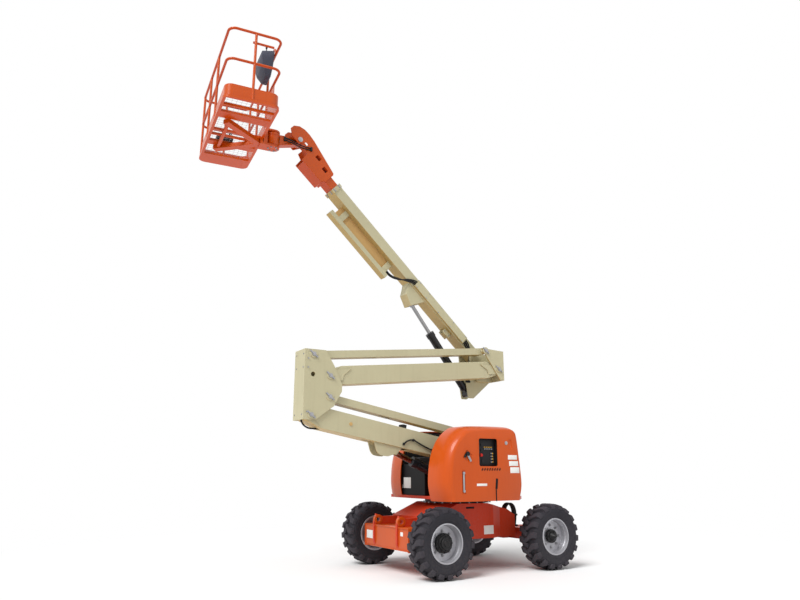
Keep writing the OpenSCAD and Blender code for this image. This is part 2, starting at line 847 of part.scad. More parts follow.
module knee_upright() {
    back = knee_pin[0] - knee_back;
    foot = knee_pin[1] - knee_foot;
    crown = upper_link_pin[1] + knee_crown;
    mid = (upper_pin[1] + knee_link_pin[1]) / 2;
    color(cream) union() {
        difference() {
            for (side = [-1, 1]) slab([
                [back, foot], [knee_pin[0] + knee_foot, foot],
                [knee_link_pin[0] + knee_shoulder, knee_link_pin[1] - knee_shoulder * 2],
                [knee_link_pin[0] + knee_nose, mid - knee_shoulder],
                [knee_link_pin[0] + knee_nose, mid + knee_shoulder / 2],
                [upper_pin[0] + knee_shoulder, upper_pin[1] + knee_shoulder * 2],
                [upper_link_pin[0] + knee_nose, crown], [back, crown]
            ], plate_t, tower_y + side * (upright_w - plate_t) / 2);
            cross_pin([upper_link_pin[0], upper_pin[1]], knee_hole_r, upright_w + 2 * over, tower_y);
        }
        slab([[back, foot], [back + plate_t / 2, foot], [back + plate_t / 2, crown], [back, crown]],
             upright_w, tower_y);
        for (p = [knee_pin, knee_link_pin, upper_pin, upper_link_pin]) {
            cross_pin(p, pin_r, upright_w, tower_y);
            cross_pin(p, pin_head_r, pin_head_t, tower_y - (upright_w + pin_head_t) / 2);
        }
    }
}

module boom_upright() {
    near_y = tower_y - (upright_w - plate_t) / 2;
    mid_y = tower_y + (upright_w - plate_t) / 2;
    far_y = boom_plate_y;
    right = head_pin[0] + head_back;
    low = head_pin[1] - head_foot;
    ear_y = (ear_gap + plate_t) / 2;
    color(cream) union() {
        slab([
            [head_link_pin[0] - head_margin, head_link_pin[1] + head_margin / 2],
            [right, head_link_pin[1] + head_margin / 4], [right, low], [right - head_margin, low]
        ], plate_t, near_y);
        for (y = [mid_y, far_y]) slab([
            [head_link_pin[0] - head_margin, head_link_pin[1] + head_margin / 2],
            [right, boom_pivot[1] + head_rise], [right, low], [lift_base[0] + ear_margin, low],
            [lift_base[0] - ear_margin * ear_side_share, head_pin[1] - head_margin]
        ], plate_t, y);
        for (side = [-1, 1]) slab([
            [lift_base[0] - ear_margin * ear_wide_share, low + head_margin],
            [lift_base[0] - ear_margin * ear_tip_share, lift_base[1] - ear_margin],
            [lift_base[0] + ear_margin * ear_tip_share, lift_base[1] - ear_margin],
            [right, low], [right, low + plate_t], [lift_base[0], low + head_margin]
        ], plate_t, boom_y + side * ear_y);
        slab([
            [lift_base[0] + ear_margin, low], [right, low],
            [right, low + plate_t], [lift_base[0] + ear_margin, low + plate_t]
        ], far_y - mid_y + plate_t, (mid_y + far_y) / 2);
        slab([
            [right - plate_t / 2, low], [right, low],
            [right, head_link_pin[1]], [right - plate_t / 2, head_link_pin[1]]
        ], far_y - near_y + plate_t, (near_y + far_y) / 2);
        for (p = [head_pin, head_link_pin]) {
            cross_pin(p, pin_r, upright_w, tower_y);
            cross_pin(p, pin_head_r, pin_head_t, tower_y - (upright_w + pin_head_t) / 2);
        }
        cross_pin(boom_pivot, pin_r, far_y - mid_y, (far_y + mid_y) / 2);
        cross_pin(lift_base, lift_pin_r, ear_gap + 2 * plate_t, boom_y);
    }
}

// Lift cylinders: drawn from the base pin along +X towards the eye
module barrel_shape(l, r, y) {
    difference() {
        union() {
            translate([neck_l, y, 0]) rotate([0, 90, 0]) cylinder(r = r, h = l - neck_l);
            translate([l - gland_l, y, 0]) rotate([0, 90, 0]) cylinder(r = r + gland_r - cyl_r, h = gland_l);
            cross_pin([0, 0], eye_r, eye_w, y);
            bar(0, neck_l + r / 2, r, r, y, 0);
        }
        cross_pin([0, 0], lift_pin_r + run_gap, eye_w + 2 * over, y);
        translate([neck_l + r, y, 0]) rotate([0, 90, 0]) cylinder(r = rod_r + run_gap, h = l);
    }
}

module rod_shape(l, start, y) {
    translate([start, y, 0]) rotate([0, 90, 0]) cylinder(r = rod_r, h = l - start);
    cross_pin([l, 0], eye_r, eye_w, y);
}

tower_cyl_v = tower_cyl_eye - tower_cyl_base;
tower_cyl_l = norm(tower_cyl_v);
tower_cyl_a = atan2(tower_cyl_v[1], tower_cyl_v[0]);
lift_v = lift_eye - lift_base;
lift_l = norm(lift_v);
lift_a = atan2(lift_v[1], lift_v[0]);

module tower_cylinder() {
    color(black) at_pin(tower_cyl_base, tower_cyl_a)
        barrel_shape(tower_cyl_l * tower_barrel_share, cyl_r, tower_y);
}

module tower_rod() {
    color(chrome) at_pin(tower_cyl_base, tower_cyl_a)
        rod_shape(tower_cyl_l, tower_rod_start, tower_y);
}

module lift_cylinder() {
    color(black) at_pin(lift_base, lift_a) barrel_shape(lift_l * lift_barrel_share, lift_cyl_r, boom_y);
}

module lift_rod() {
    color(chrome) at_pin(lift_base, lift_a) rod_shape(lift_l, lift_rod_start, boom_y);
}

// Boom: drawn along -X from its pivot at the origin, then raised
module raised() {
    translate([boom_pivot[0], boom_y, boom_pivot[1]]) rotate([0, boom_rise, 0]) children();
}

module tube(x0, x1, w, h, wall) {
    difference() {
        bar(x0, x1, w, h, 0, 0);
        bar(x0 - over, x1 + over, w - 2 * wall, h - 2 * wall, 0, 0);
    }
}

module main_boom() {
    root = -boom_h / 2 + boom_wall / 2;
    nose = [eye_x - clevis_nose, root];
    chin = [eye_x - clevis_chin, eye_z - clevis_plate];
    toe = [eye_x + clevis_t * 2, eye_z - clevis_drop];
    back = [0, clevis_plate];
    color(cream) raised() difference() {
        union() {
            tube(-boom_l, -solid_root_l, boom_w, boom_h, boom_wall);
            bar(-solid_root_l, 0, boom_w, boom_h, 0, 0);
            cross_pin([0, 0], boom_end_r, boom_w, 0);
            difference() {
                bar(-boom_l, -boom_l + collar_l, boom_w + 2 * collar_t, boom_h + 2 * collar_t, 0, 0);
                bar(-boom_l - over, -boom_l + collar_l + over, fly_w + 2 * run_gap, fly_h + 2 * run_gap, 0, 0);
            }
            for (side = [-1, 1]) slab([nose, chin, toe, [eye_x + clevis_l / 2, root]],
                                      clevis_t, side * (lug_gap + clevis_t) / 2);
            slab([nose, chin, chin + back, nose + [clevis_plate, 0]], lug_gap + clevis_t, 0);
            slab([chin, toe, toe + back, chin + back], lug_gap + clevis_t, 0);
            hose_cover();
        }
        cross_pin([0, 0], pin_r + run_gap, boom_w + 2 * over, 0);
    }
}

// The channel that covers the hoses along the boom's near side, open at both ends
module hose_cover() {
    difference() {
        bar(-cover_end, -cover_start, cover_t + cover_wall, cover_h, -(boom_w + cover_t - cover_wall) / 2, 0);
        bar(-cover_end - over, -cover_start + over, cover_t - 2 * cover_wall, cover_h - 2 * cover_wall,
            -(boom_w + cover_t) / 2, 0);
    }
}

module hose_tray() {
    foot_h = tray_drop - tray_h / 2;
    color(cream) raised() union() {
        difference() {
            bar(-tray_end, -tray_start, tray_w, tray_h, 0, -boom_h / 2 - tray_drop);
            bar(-tray_end - over, -tray_start + over, tray_w - 2 * tray_wall, tray_h - 2 * tray_wall,
                0, -boom_h / 2 - tray_drop);
        }
        for (x = [-tray_end + tray_foot_l * 2, -tray_start - tray_foot_l])
            bar(x - tray_foot_l / 2, x + tray_foot_l / 2, tray_w / 2, foot_h, 0, -(boom_h + foot_h) / 2);
    }
}

function head_outline() = [
    for (s = head_shares) [-boom_l - fly_bare - s[0] * head_l, s[1] * head_h]
];

module fly_boom() {
    mouth = -boom_l - fly_bare - head_l * mouth_share;
    color(orange) raised() union() {
        tube(-boom_l - fly_bare - over, -boom_l + fly_inside, fly_w, fly_h, fly_wall);
        difference() {
            slab(head_outline(), head_w, 0);
            bar(mouth - head_l, mouth, head_w - 2 * head_plate, head_h * 2, 0, 0);
            for (s = window_shares) {
                x = -boom_l - fly_bare - s[0] * head_l;
                bar(x - head_window_l, x, head_w + 2 * over, head_window_h, 0, s[1] * head_h);
            }
        }
        cross_pin([-tip_along, -tip_drop], tip_pin_r, head_w, 0);
    }
}

// Levelling bracket: a stem from the tip pin to the rotator's housing
module level_bracket() {
    color(orange) difference() {
        union() {
            cross_pin(tip_pin, bracket_boss_r, bracket_w, boom_y);
            slab([
                [tip_pin[0], tip_pin[1] - bracket_h / 3], [tip_pin[0], tip_pin[1] + bracket_h / 3],
                [rotator_x + rotator_r * bracket_root_share, rotator_z + rotator_h * bracket_top_share],
                [rotator_x + rotator_r * bracket_root_share, rotator_z + rotator_h * bracket_low_share]
            ], bracket_w, boom_y);
        }
        cross_pin(tip_pin, tip_pin_r + run_gap, bracket_w + 2 * over, boom_y);
        translate([rotator_x, boom_y, rotator_z - over])
            cylinder(r = rotator_r + run_gap, h = rotator_h + 2 * over);
    }
}

module rotator() {
    color(grey) translate([rotator_x, boom_y, rotator_z]) cylinder(r = rotator_r, h = rotator_h);
}

// Platform: drawn with its rotator at the origin, reaching along -X, then turned and placed
module platform_place() {
    translate([rotator_x, boom_y, 0]) rotate([0, 0, platform_turn]) children();
}

deck_mid = -inner_edge - deck_w / 2;

module rail_ring(z, d, l, w) {
    r = corner_r;
    translate([deck_mid, 0, z]) {
        for (side = [-1, 1]) {
            translate([-w / 2 + r, side * l / 2, 0]) rotate([0, 90, 0]) cylinder(r = d / 2, h = w - 2 * r);
            translate([side * w / 2, -l / 2 + r, 0]) rotate([-90, 0, 0]) cylinder(r = d / 2, h = l - 2 * r);
        }
        rail_corners(l, w) translate([r, 0]) circle(d / 2);
    }
}

// The four bends of a ring, each turning a section drawn at the bend's radius
module rail_corners(l, w) {
    for (q = [0 : 3]) {
        sx = (q == 0 || q == 3) ? 1 : -1;
        sy = q < 2 ? 1 : -1;
        translate([sx * (w / 2 - corner_r), sy * (l / 2 - corner_r), 0]) rotate([0, 0, 90 * q])
            rotate_extrude(angle = 90) children();
    }
}

module rail_post(x, y) {
    translate([deck_mid + x, y, floor_z]) cylinder(r = rail_d / 2, h = rail_h);
}

module platform_rails() {
    w = deck_w - rail_d;
    l = deck_l - rail_d;
    top = floor_z + rail_h;
    color(orange) platform_place() union() {
        for (z = [top, floor_z + rail_h * mid_rail_share]) rail_ring(z, rail_d, l, w);
        for (side = [-1, 1]) {
            for (s = post_shares) rail_post(side * w / 2, (s - 1 / 2) * l);
            rail_post(0, side * l / 2);
        }
        toe_ring(l, w);
        translate([deck_mid + (w - panel_t) / 2, console_y - console_l / 2, floor_z + toe_h - over])
            cube([panel_t, console_l, rail_h * mid_rail_share - toe_h + over]);
        hoop(top);
    }
}

// The toe board runs all round and follows the bends of the rails
module toe_ring(l, w) {
    translate([deck_mid, 0, floor_z]) {
        for (side = [-1, 1]) {
            translate([-w / 2 + corner_r, side * l / 2 - toe_t / 2, 0]) cube([w - 2 * corner_r, toe_t, toe_h]);
            translate([side * w / 2 - toe_t / 2, -l / 2 + corner_r, 0]) cube([toe_t, l - 2 * corner_r, toe_h]);
        }
        rail_corners(l, w) translate([corner_r - toe_t / 2, 0]) square([toe_t, toe_h]);
    }
}

// A guard hoop over the console, on the boom's side
module hoop(top) {
    x = deck_mid + (deck_w - rail_d) / 2;
    bend = hoop_l / 4;
    for (side = [-1, 1]) {
        translate([x, console_y + side * hoop_l / 2, top]) cylinder(r = hoop_d / 2, h = hoop_h - bend);
        translate([x, console_y + side * (hoop_l / 2 - bend), top + hoop_h - bend])
            rotate([90, 0, 90 * side]) rotate_extrude(angle = 90) translate([bend, 0]) circle(hoop_d / 2);
    }
    translate([x, console_y - hoop_l / 2 + bend, top + hoop_h]) rotate([-90, 0, 0])
        cylinder(r = hoop_d / 2, h = hoop_l - 2 * bend);
}

module platform_floor() {
    color(orange) platform_place() difference() {
        translate([deck_mid - deck_w / 2, -deck_l / 2, floor_z - floor_t]) cube([deck_w, deck_l, floor_t]);
        for (s = floor_gap_shares)
            translate([deck_mid - deck_w / 2 + floor_rim, (s[0] - 1 / 2) * deck_l, floor_z - floor_t - over])
                cube([deck_w - 2 * floor_rim, (s[1] - s[0]) * deck_l, floor_t + 2 * over]);
        for (side = [-1, 1]) for (end = [-1, 1]) corner_cut(side, end);
    }
}

// What a rounded corner takes off the floor
module corner_cut(side, end) {
    translate([deck_mid + side * (deck_w / 2 - corner_r), end * (deck_l / 2 - corner_r),
               floor_z - floor_t - over])
        difference() {
            translate([side > 0 ? 0 : -2 * corner_r, end > 0 ? 0 : -2 * corner_r, 0])
                cube([2 * corner_r, 2 * corner_r, floor_t + 2 * over]);
            translate([0, 0, -over]) cylinder(r = corner_r, h = floor_t + 4 * over);
        }
}

// Support: plates over and under the rotator, a back plate, and two arms spread under the floor
module platform_support() {
    low = rotator_z - run_gap - support_plate_t;
    high = rotator_z + rotator_h + run_gap;
    back = -inner_edge - floor_rim;
    under = floor_z - floor_t;
    root = -inner_edge + side_gap;
    reach = deck_w * support_reach_share;
    color(orange) platform_place() union() {
        for (z = [low, high]) translate([0, 0, z]) cylinder(r = rotator_r, h = support_plate_t);
        translate([back, -rotator_r, low]) cube([-back, 2 * rotator_r, support_plate_t]);
        translate([root, -rotator_r, high]) cube([-root, 2 * rotator_r, support_plate_t]);
        translate([back, -rotator_r, low]) cube([floor_rim - side_gap, 2 * rotator_r, under - low]);
        translate([root, -rotator_r, low]) cube([-root - rotator_r - side_gap, 2 * rotator_r, high - low]);
        for (side = [-1, 1]) translate([back, 0, under - support_h / 2]) rotate([0, 0, side * support_spread])
            translate([-reach, -support_w / 2, -support_h / 2]) cube([reach, support_w, support_h]);
    }
}

module control_console() {
    top = floor_z + rail_h;
    color(grey) platform_place()
        translate([deck_mid + deck_w / 2 - rail_d - run_gap - console_w, console_y - console_l / 2,
                   top - console_drop])
            cube([console_w, console_l, console_h]);
}

module foot_switch() {
    color(black) platform_place()
        translate([deck_mid - switch_l, (switch_share - 1 / 2) * deck_l - switch_w / 2, floor_z])
            cube([switch_l, switch_w, switch_h]);
}

// Drop bar across the near end, pivoted at its inner end just inside the rails
module gate_bar() {
    z = floor_z + rail_h * gate_share;
    reach = (deck_w - rail_d) / 2 - corner_r;
    stub = gate_d / 2 + side_gap - run_gap;
    y = -deck_l / 2 + rail_d + gate_d / 2 + side_gap;
    color(orange) platform_place() translate([deck_mid, y, z]) union() {
        translate([-gate_d, 0, 0]) rotate([0, 90, 0]) cylinder(r = gate_d / 2, h = gate_d + reach);
        rotate([90, 0, 0]) cylinder(r = gate_d / 3, h = stub);
    }
}

chassis_frame();
rear_axle();
front_axle();
slew_ring();
rear_near_tyre();
rear_near_rim();
rear_near_hub();
rear_far_tyre();
rear_far_rim();
rear_far_hub();
steer_near_tyre();
steer_near_rim();
steer_near_hub();
steer_far_tyre();
steer_far_rim();
steer_far_hub();
near_knuckle();
far_knuckle();
tie_rod();
turntable_base();
tower_post();
counterweight();
engine_block();
hydraulic_tank();
control_box();
near_hood();
far_hood();
lower_arm();
lower_link();
knee_upright();
upper_arm();
upper_link();
boom_upright();
tower_cylinder();
tower_rod();
lift_cylinder();
lift_rod();
main_boom();
hose_tray();
fly_boom();
level_bracket();
rotator();
platform_rails();
platform_floor();
platform_support();
control_console();
gate_bar();
foot_switch();
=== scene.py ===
# %% [markdown]
# An articulating boom lift, dressed
#
# The machine arrives as plain solids: chassis, wheels, turntable, folding tower, boom and work platform.
# This lesson gives each of them its finish and adds the small pieces that a mechanic would notice.
# Places are taken from the solids and joints where they can be, so a piece lands on what carries it.

# %% Load the machine
import json
import math

import bmesh
import bpy
from mathutils import Matrix, Vector

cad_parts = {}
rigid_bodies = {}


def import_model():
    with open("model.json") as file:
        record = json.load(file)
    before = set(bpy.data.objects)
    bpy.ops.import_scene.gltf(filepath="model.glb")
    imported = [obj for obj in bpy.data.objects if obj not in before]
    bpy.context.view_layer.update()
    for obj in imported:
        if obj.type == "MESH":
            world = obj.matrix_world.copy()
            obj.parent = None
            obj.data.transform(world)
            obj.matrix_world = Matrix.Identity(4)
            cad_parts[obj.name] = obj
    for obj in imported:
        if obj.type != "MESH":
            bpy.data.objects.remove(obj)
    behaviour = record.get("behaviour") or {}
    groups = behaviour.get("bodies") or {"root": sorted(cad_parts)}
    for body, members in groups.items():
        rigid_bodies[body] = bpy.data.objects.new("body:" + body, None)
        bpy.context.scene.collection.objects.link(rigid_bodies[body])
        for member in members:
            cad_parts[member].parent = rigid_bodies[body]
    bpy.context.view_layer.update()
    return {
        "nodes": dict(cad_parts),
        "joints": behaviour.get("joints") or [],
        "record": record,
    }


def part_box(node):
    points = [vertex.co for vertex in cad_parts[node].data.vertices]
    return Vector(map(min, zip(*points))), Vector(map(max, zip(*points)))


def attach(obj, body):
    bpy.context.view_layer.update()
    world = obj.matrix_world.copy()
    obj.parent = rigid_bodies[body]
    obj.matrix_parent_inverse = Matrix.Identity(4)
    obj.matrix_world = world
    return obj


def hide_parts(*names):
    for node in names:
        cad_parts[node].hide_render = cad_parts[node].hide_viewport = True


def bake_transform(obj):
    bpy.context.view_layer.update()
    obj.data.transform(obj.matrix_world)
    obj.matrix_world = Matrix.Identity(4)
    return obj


for leftover in list(bpy.data.objects):
    bpy.data.objects.remove(leftover)
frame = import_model()
nodes = frame["nodes"]
scene = bpy.context.scene

# %% [markdown]
# The camera
#
# The photograph was taken from the near rear corner, from about chest height and looking slightly up.
# A camera needs a place, a heading and a lens. These came from fitting the four wheels and the arms' pins.

# %% Camera
CAMERA_PLACE = (-5.7917, -7.9752, 1.2796)
CAMERA_HEADING = 0.5463
CAMERA_LIFT = 0.2529
LENS_MM = 29.77
SENSOR_MM = 36.0

camera_data = bpy.data.cameras.new("camera")
camera_data.lens = LENS_MM
camera_data.sensor_width = SENSOR_MM
camera = bpy.data.objects.new("camera", camera_data)
camera.location = CAMERA_PLACE
camera.rotation_euler = (math.pi / 2 + CAMERA_LIFT, 0, -CAMERA_HEADING)
scene.collection.objects.link(camera)
scene.camera = camera
print("camera at", CAMERA_PLACE)

# %% [markdown]
# Building with nodes
#
# The world, the floor, the paints and the copied shapes are all node trees. One function adds a node, sets
# its options and feeds its inputs, either with a value or with the output of another node.

# %% Node helpers
WHITE = (1, 1, 1, 1)


def feed(tree, target, inputs):
    for socket, value in inputs.items():
        if isinstance(value, bpy.types.NodeSocket):
            tree.links.new(value, target.inputs[socket])
        else:
            target.inputs[socket].default_value = value


def node(tree, kind, inputs=None, **options):
    made = tree.nodes.new(kind)
    for name, value in options.items():
        setattr(made, name, value)
    feed(tree, made, inputs or {})
    return made


def maths(tree, operation, first, second):
    return node(tree, "ShaderNodeMath", {0: first, 1: second}, operation=operation).outputs[0]


def seen_directly(tree):
    """A value that is 1 for rays from the camera, from mirrors and through glass."""
    path = node(tree, "ShaderNodeLightPath").outputs
    seen = maths(tree, "MAXIMUM", path["Is Camera Ray"], path["Is Glossy Ray"])
    return maths(tree, "MAXIMUM", seen, path["Is Transmission Ray"])


print("node helpers ready")

# %% [markdown]
# Studio light and floor
#
# The background is white paper. A lamp strong enough to bleach it would bleach the cream paint too, so the
# white comes from the world, which shows plain white to the camera and to reflections but lights the machine
# at a modest level. The floor is a pale diffuse disc that keeps the shadow and fades into that white.

# %% World, lamps and floor
scene.view_settings.view_transform = "Standard"
AMBIENT = 0.46
# Each lamp: power, softness and the turn about X and Z, the angles in degrees
LAMPS = {"key": (2.7, 28, 43, -64), "fill": (0.3, 60, 58, 25)}
FLOOR_RADIUS = 26.0
FLOOR_FADE_START = 4.0
FLOOR_FADE_END = 7.5
FLOOR_TONE = (0.93, 0.93, 0.93, 1)

scene.world = bpy.data.worlds.new("studio")
scene.world.use_nodes = True
sky = scene.world.node_tree
sky.nodes.clear()
sky_light = node(sky, "ShaderNodeBackground", {"Color": WHITE, "Strength": AMBIENT})
sky_paper = node(sky, "ShaderNodeBackground", {"Color": WHITE})
sky_mix = node(sky, "ShaderNodeMixShader", {0: seen_directly(sky), 1: sky_light.outputs[0], 2: sky_paper.outputs[0]})
node(sky, "ShaderNodeOutputWorld", {0: sky_mix.outputs[0]})

for name, (power, softness, tilt, heading) in LAMPS.items():
    lamp = bpy.data.lights.new(name, "SUN")
    lamp.energy = power
    lamp.angle = math.radians(softness)
    lamp_object = bpy.data.objects.new(name, lamp)
    lamp_object.rotation_euler = (math.radians(tilt), 0, math.radians(heading))
    scene.collection.objects.link(lamp_object)


def floor_material():
    material = bpy.data.materials.new("studio_floor")
    material.use_nodes = True
    tree = material.node_tree
    tree.nodes.clear()
    paper = node(tree, "ShaderNodeBsdfDiffuse", {"Color": FLOOR_TONE})
    glow = node(tree, "ShaderNodeEmission", {"Color": WHITE})
    place = node(tree, "ShaderNodeTexCoord").outputs["Object"]
    reach = node(tree, "ShaderNodeVectorMath", {0: place}, operation="LENGTH").outputs["Value"]
    fade = node(tree, "ShaderNodeMapRange", {
        "Value": reach, "From Min": FLOOR_FADE_START, "From Max": FLOOR_FADE_END}, interpolation_type="SMOOTHSTEP")
    share = maths(tree, "MULTIPLY", fade.outputs["Result"], seen_directly(tree))
    mixed = node(tree, "ShaderNodeMixShader", {0: share, 1: paper.outputs[0], 2: glow.outputs[0]})
    node(tree, "ShaderNodeOutputMaterial", {0: mixed.outputs[0]})
    return material


floor_mesh = bpy.data.meshes.new("studio_floor")
floor_shape = bmesh.new()
bmesh.ops.create_circle(floor_shape, cap_ends=True, segments=64, radius=FLOOR_RADIUS)
floor_shape.to_mesh(floor_mesh)
floor_shape.free()
floor_mesh.materials.append(floor_material())
floor = bpy.data.objects.new("studio_floor", floor_mesh)
scene.collection.objects.link(floor)
print("studio ready, lamps:", len(LAMPS))

# %% [markdown]
# Paint, rubber and metal
#
# Sprayed paint on a work machine is never one colour: panels fade a little, dust settles low down, and the
# film has a fine orange peel that breaks up reflections. Faces that look down also get a warm tint, which is
# painted light: it stands for light bounced up from below onto the painted steel. Those effects live in one node
# group, placed in each material with its own amounts.

# %% Shader group
DUST_TOP = 1.1
DUST_FLOOR = 0.2
# Painted light: the warm tint that faces looking down take, standing for light bounced up from below
PAINTED_BOUNCE_TINT = (1.0, 0.76, 0.46, 1)
FADED_TINT = (0.62, 0.6, 0.58, 1)
STREAK_STRETCH = (9, 9, 0.9)
# Noises: scale, detail and, where it isn't the usual one, roughness
CLOUDS, STREAKS, PEEL, GRIT = (1.7, 3), (2.2, 4, 0.6), (260, 2), (38, 5, 0.7)
COAT_INPUTS = {
    "Coat Colour": (0.8, 0.8, 0.8, 1), "Dust Colour": (0.35, 0.28, 0.2, 1), "Fading": 0.1, "Dust": 0.2, "Gloss": 0.35,
    "Painted Bounce": 0.0,
}
COAT_OUTPUTS = {"Colour": "NodeSocketColor", "Roughness": "NodeSocketFloat", "Height": "NodeSocketFloat"}


def noise(tree, place, scale, detail, roughness=0.5):
    return node(tree, "ShaderNodeTexNoise", {
        "Vector": place, "Scale": scale, "Detail": detail, "Roughness": roughness}).outputs["Fac"]


def remap(tree, value, low, high):
    return node(tree, "ShaderNodeMapRange", {"Value": value, "From Min": low, "From Max": high}).outputs["Result"]


def mix_colour(tree, factor, first, second, blend="MIX"):
    inputs = {0: factor, 6: first, 7: second}
    return node(tree, "ShaderNodeMix", inputs, data_type="RGBA", blend_type=blend).outputs[2]


def weathered_group():
    """Colour, roughness and height of a coat: fading, streaks, painted warm bounce light on faces that look down, low
    dust and orange peel.
    """
    group = bpy.data.node_groups.new("weathered_coat", "ShaderNodeTree")
    for name, default in COAT_INPUTS.items():
        kind = "NodeSocketColor" if isinstance(default, tuple) else "NodeSocketFloat"
        group.interface.new_socket(name, in_out="INPUT", socket_type=kind).default_value = default
    for name, kind in COAT_OUTPUTS.items():
        group.interface.new_socket(name, in_out="OUTPUT", socket_type=kind)
    given = node(group, "NodeGroupInput").outputs
    coordinates = node(group, "ShaderNodeTexCoord").outputs
    place = coordinates["Object"]
    stretched = node(group, "ShaderNodeMapping", {"Vector": place, "Scale": STREAK_STRETCH}).outputs[0]
    clouds = noise(group, place, *CLOUDS)
    streaks = noise(group, stretched, *STREAKS)
    peel = noise(group, place, *PEEL)
    grit = noise(group, place, *GRIT)
    coat = given["Coat Colour"]
    tone = maths(group, "MULTIPLY", remap(group, clouds, 0.3, 0.75), given["Fading"])
    streak = maths(group, "MULTIPLY", remap(group, streaks, 0.5, 0.8), given["Fading"])
    dark = mix_colour(group, 1.0, coat, FADED_TINT, "MULTIPLY")
    faded = mix_colour(group, maths(group, "ADD", tone, streak), coat, dark)
    # Painted bounce light: faces that look down are tinted warm, by the material's own amount
    facing = node(group, "ShaderNodeSeparateXYZ", {0: coordinates["Normal"]}).outputs["Z"]
    painted_bounce_share = maths(group, "MULTIPLY", remap(group, facing, -0.10, -0.70), given["Painted Bounce"])
    faded = mix_colour(group, painted_bounce_share, faded, mix_colour(group, 1.0, faded, PAINTED_BOUNCE_TINT, "MULTIPLY"))
    low = remap(group, node(group, "ShaderNodeSeparateXYZ", {0: place}).outputs["Z"], DUST_TOP, DUST_FLOOR)
    patchy = maths(group, "MULTIPLY", low, remap(group, grit, 0.35, 0.7))
    dusty = maths(group, "MULTIPLY", patchy, given["Dust"])
    rough = maths(group, "ADD", given["Gloss"], maths(group, "MULTIPLY", dusty, 0.6))
    node(group, "NodeGroupOutput", {
        "Colour": mix_colour(group, dusty, faded, given["Dust Colour"]),
        "Roughness": maths(group, "ADD", rough, maths(group, "MULTIPLY", tone, 0.35)),
        "Height": maths(group, "ADD", peel, maths(group, "MULTIPLY", grit, 0.5))})
    return group


weathered = weathered_group()
print("group inputs:", len(COAT_INPUTS))

# %% [markdown]
# A table of finishes
#
# Each finish is one row: its colour as read off a screen, how much it fades, how much dust it takes, its
# roughness and the strength of its bump. Metals, clear coats and paints that take painted bounce light on their
# undersides have a last three values.

# %% Coated materials
DUST_TONE = (0.22, 0.19, 0.16, 1)
SHEEN = 0.25
BUMP_DEPTH = 0.001
# Red, green, blue, then fading, dust, roughness and bump, then metallic, clear coat and painted bounce light on
# undersides where they count
COATS = {
    "orange_paint": (198, 78, 6, 0.16, 0.10, 0.30, 0.10, 0.0, 0.15, 1.0),
    # Painted shade: this darker red stands for the orange paint in shadow, on the chassis, turntable base and tower
    # post
    "deep_red_paint": (203, 54, 10, 0.22, 0.25, 0.40, 0.14, 0.0, 0.06, 1.0),
    "cream_paint": (192, 185, 151, 0.14, 0.10, 0.44, 0.12, 0.0, 0.06, 1.0),
    # Painted shade: a darker, warmer copy of the cream paint, for the shadowed gap under the boom and the plugs'
    # dimples
    "cream_painted_shade": (204, 166, 108, 0.20, 0.10, 0.60, 0.12, 0.0, 0.0, 1.0),
    "grey_paint": (96, 98, 100, 0.25, 0.30, 0.45, 0.15),
    "tyre_rubber": (42, 41, 48, 0.35, 0.10, 0.72, 0.55),
    "worn_rubber": (55, 52, 59, 0.30, 0.12, 0.74, 0.55),
    "rim_silver": (181, 181, 187, 0.18, 0.25, 0.34, 0.10, 0.55),
    "hub_black": (24, 24, 26, 0.25, 0.06, 0.36, 0.18),
    "black_plastic": (26, 26, 28, 0.20, 0.12, 0.48, 0.35),
    "cylinder_black": (28, 28, 31, 0.25, 0.15, 0.32, 0.10, 0.0, 0.2),
    "tank_black": (11, 11, 12, 0.25, 0.08, 0.55, 0.20),
    "engine_iron": (66, 66, 68, 0.40, 0.30, 0.55, 0.50, 0.3),
    "bare_steel": (168, 168, 172, 0.30, 0.20, 0.36, 0.20, 0.85),
    "rod_chrome": (150, 150, 152, 0.06, 0.05, 0.10, 0.03, 1.0),
    "grey_plastic": (74, 78, 92, 0.20, 0.10, 0.46, 0.35),
    "blank_white": (232, 232, 228, 0.10, 0.08, 0.42, 0.05),
    "warm_yellow": (238, 178, 44, 0.12, 0.08, 0.40, 0.05),
    "signal_red": (196, 34, 26, 0.12, 0.08, 0.34, 0.05),
    # Painted shade: a flat black for the dark inside openings, recesses and gaps
    "shadow_black": (12, 12, 13, 0.10, 0.05, 0.75, 0.20),
}


def linear(value):
    """One channel of a colour as it is read off a screen, 0 to 255, made linear for the shader."""
    part = value / 255
    return part / 12.92 if part <= 0.04045 else ((part + 0.055) / 1.055) ** 2.4


# The last value is painted bounce light: a warm tint on faces that look down
def coated(name, red, green, blue, fading, dust, gloss, bump, metallic=0.0, coat=0.0, painted_bounce_amount=0.0):
    """A material of one coat: the group above feeds the shader's colour, roughness and bump."""
    material = bpy.data.materials.new(name)
    material.use_nodes = True
    tree = material.node_tree
    surface = node(tree, "ShaderNodeGroup", {
        "Coat Colour": (linear(red), linear(green), linear(blue), 1), "Dust Colour": DUST_TONE, "Fading": fading,
        "Dust": dust, "Gloss": gloss, "Painted Bounce": painted_bounce_amount}, node_tree=weathered).outputs
    raised = node(tree, "ShaderNodeBump", {"Strength": bump, "Distance": BUMP_DEPTH, "Height": surface["Height"]})
    feed(tree, tree.nodes["Principled BSDF"], {
        "Metallic": metallic, "Coat Weight": coat, "Specular IOR Level": SHEEN, "Base Color": surface["Colour"],
        "Roughness": surface["Roughness"], "Normal": raised.outputs["Normal"]})
    return material


FINISHES = {name: coated(name, *values) for name, values in COATS.items()}
print("finishes:", len(FINISHES))

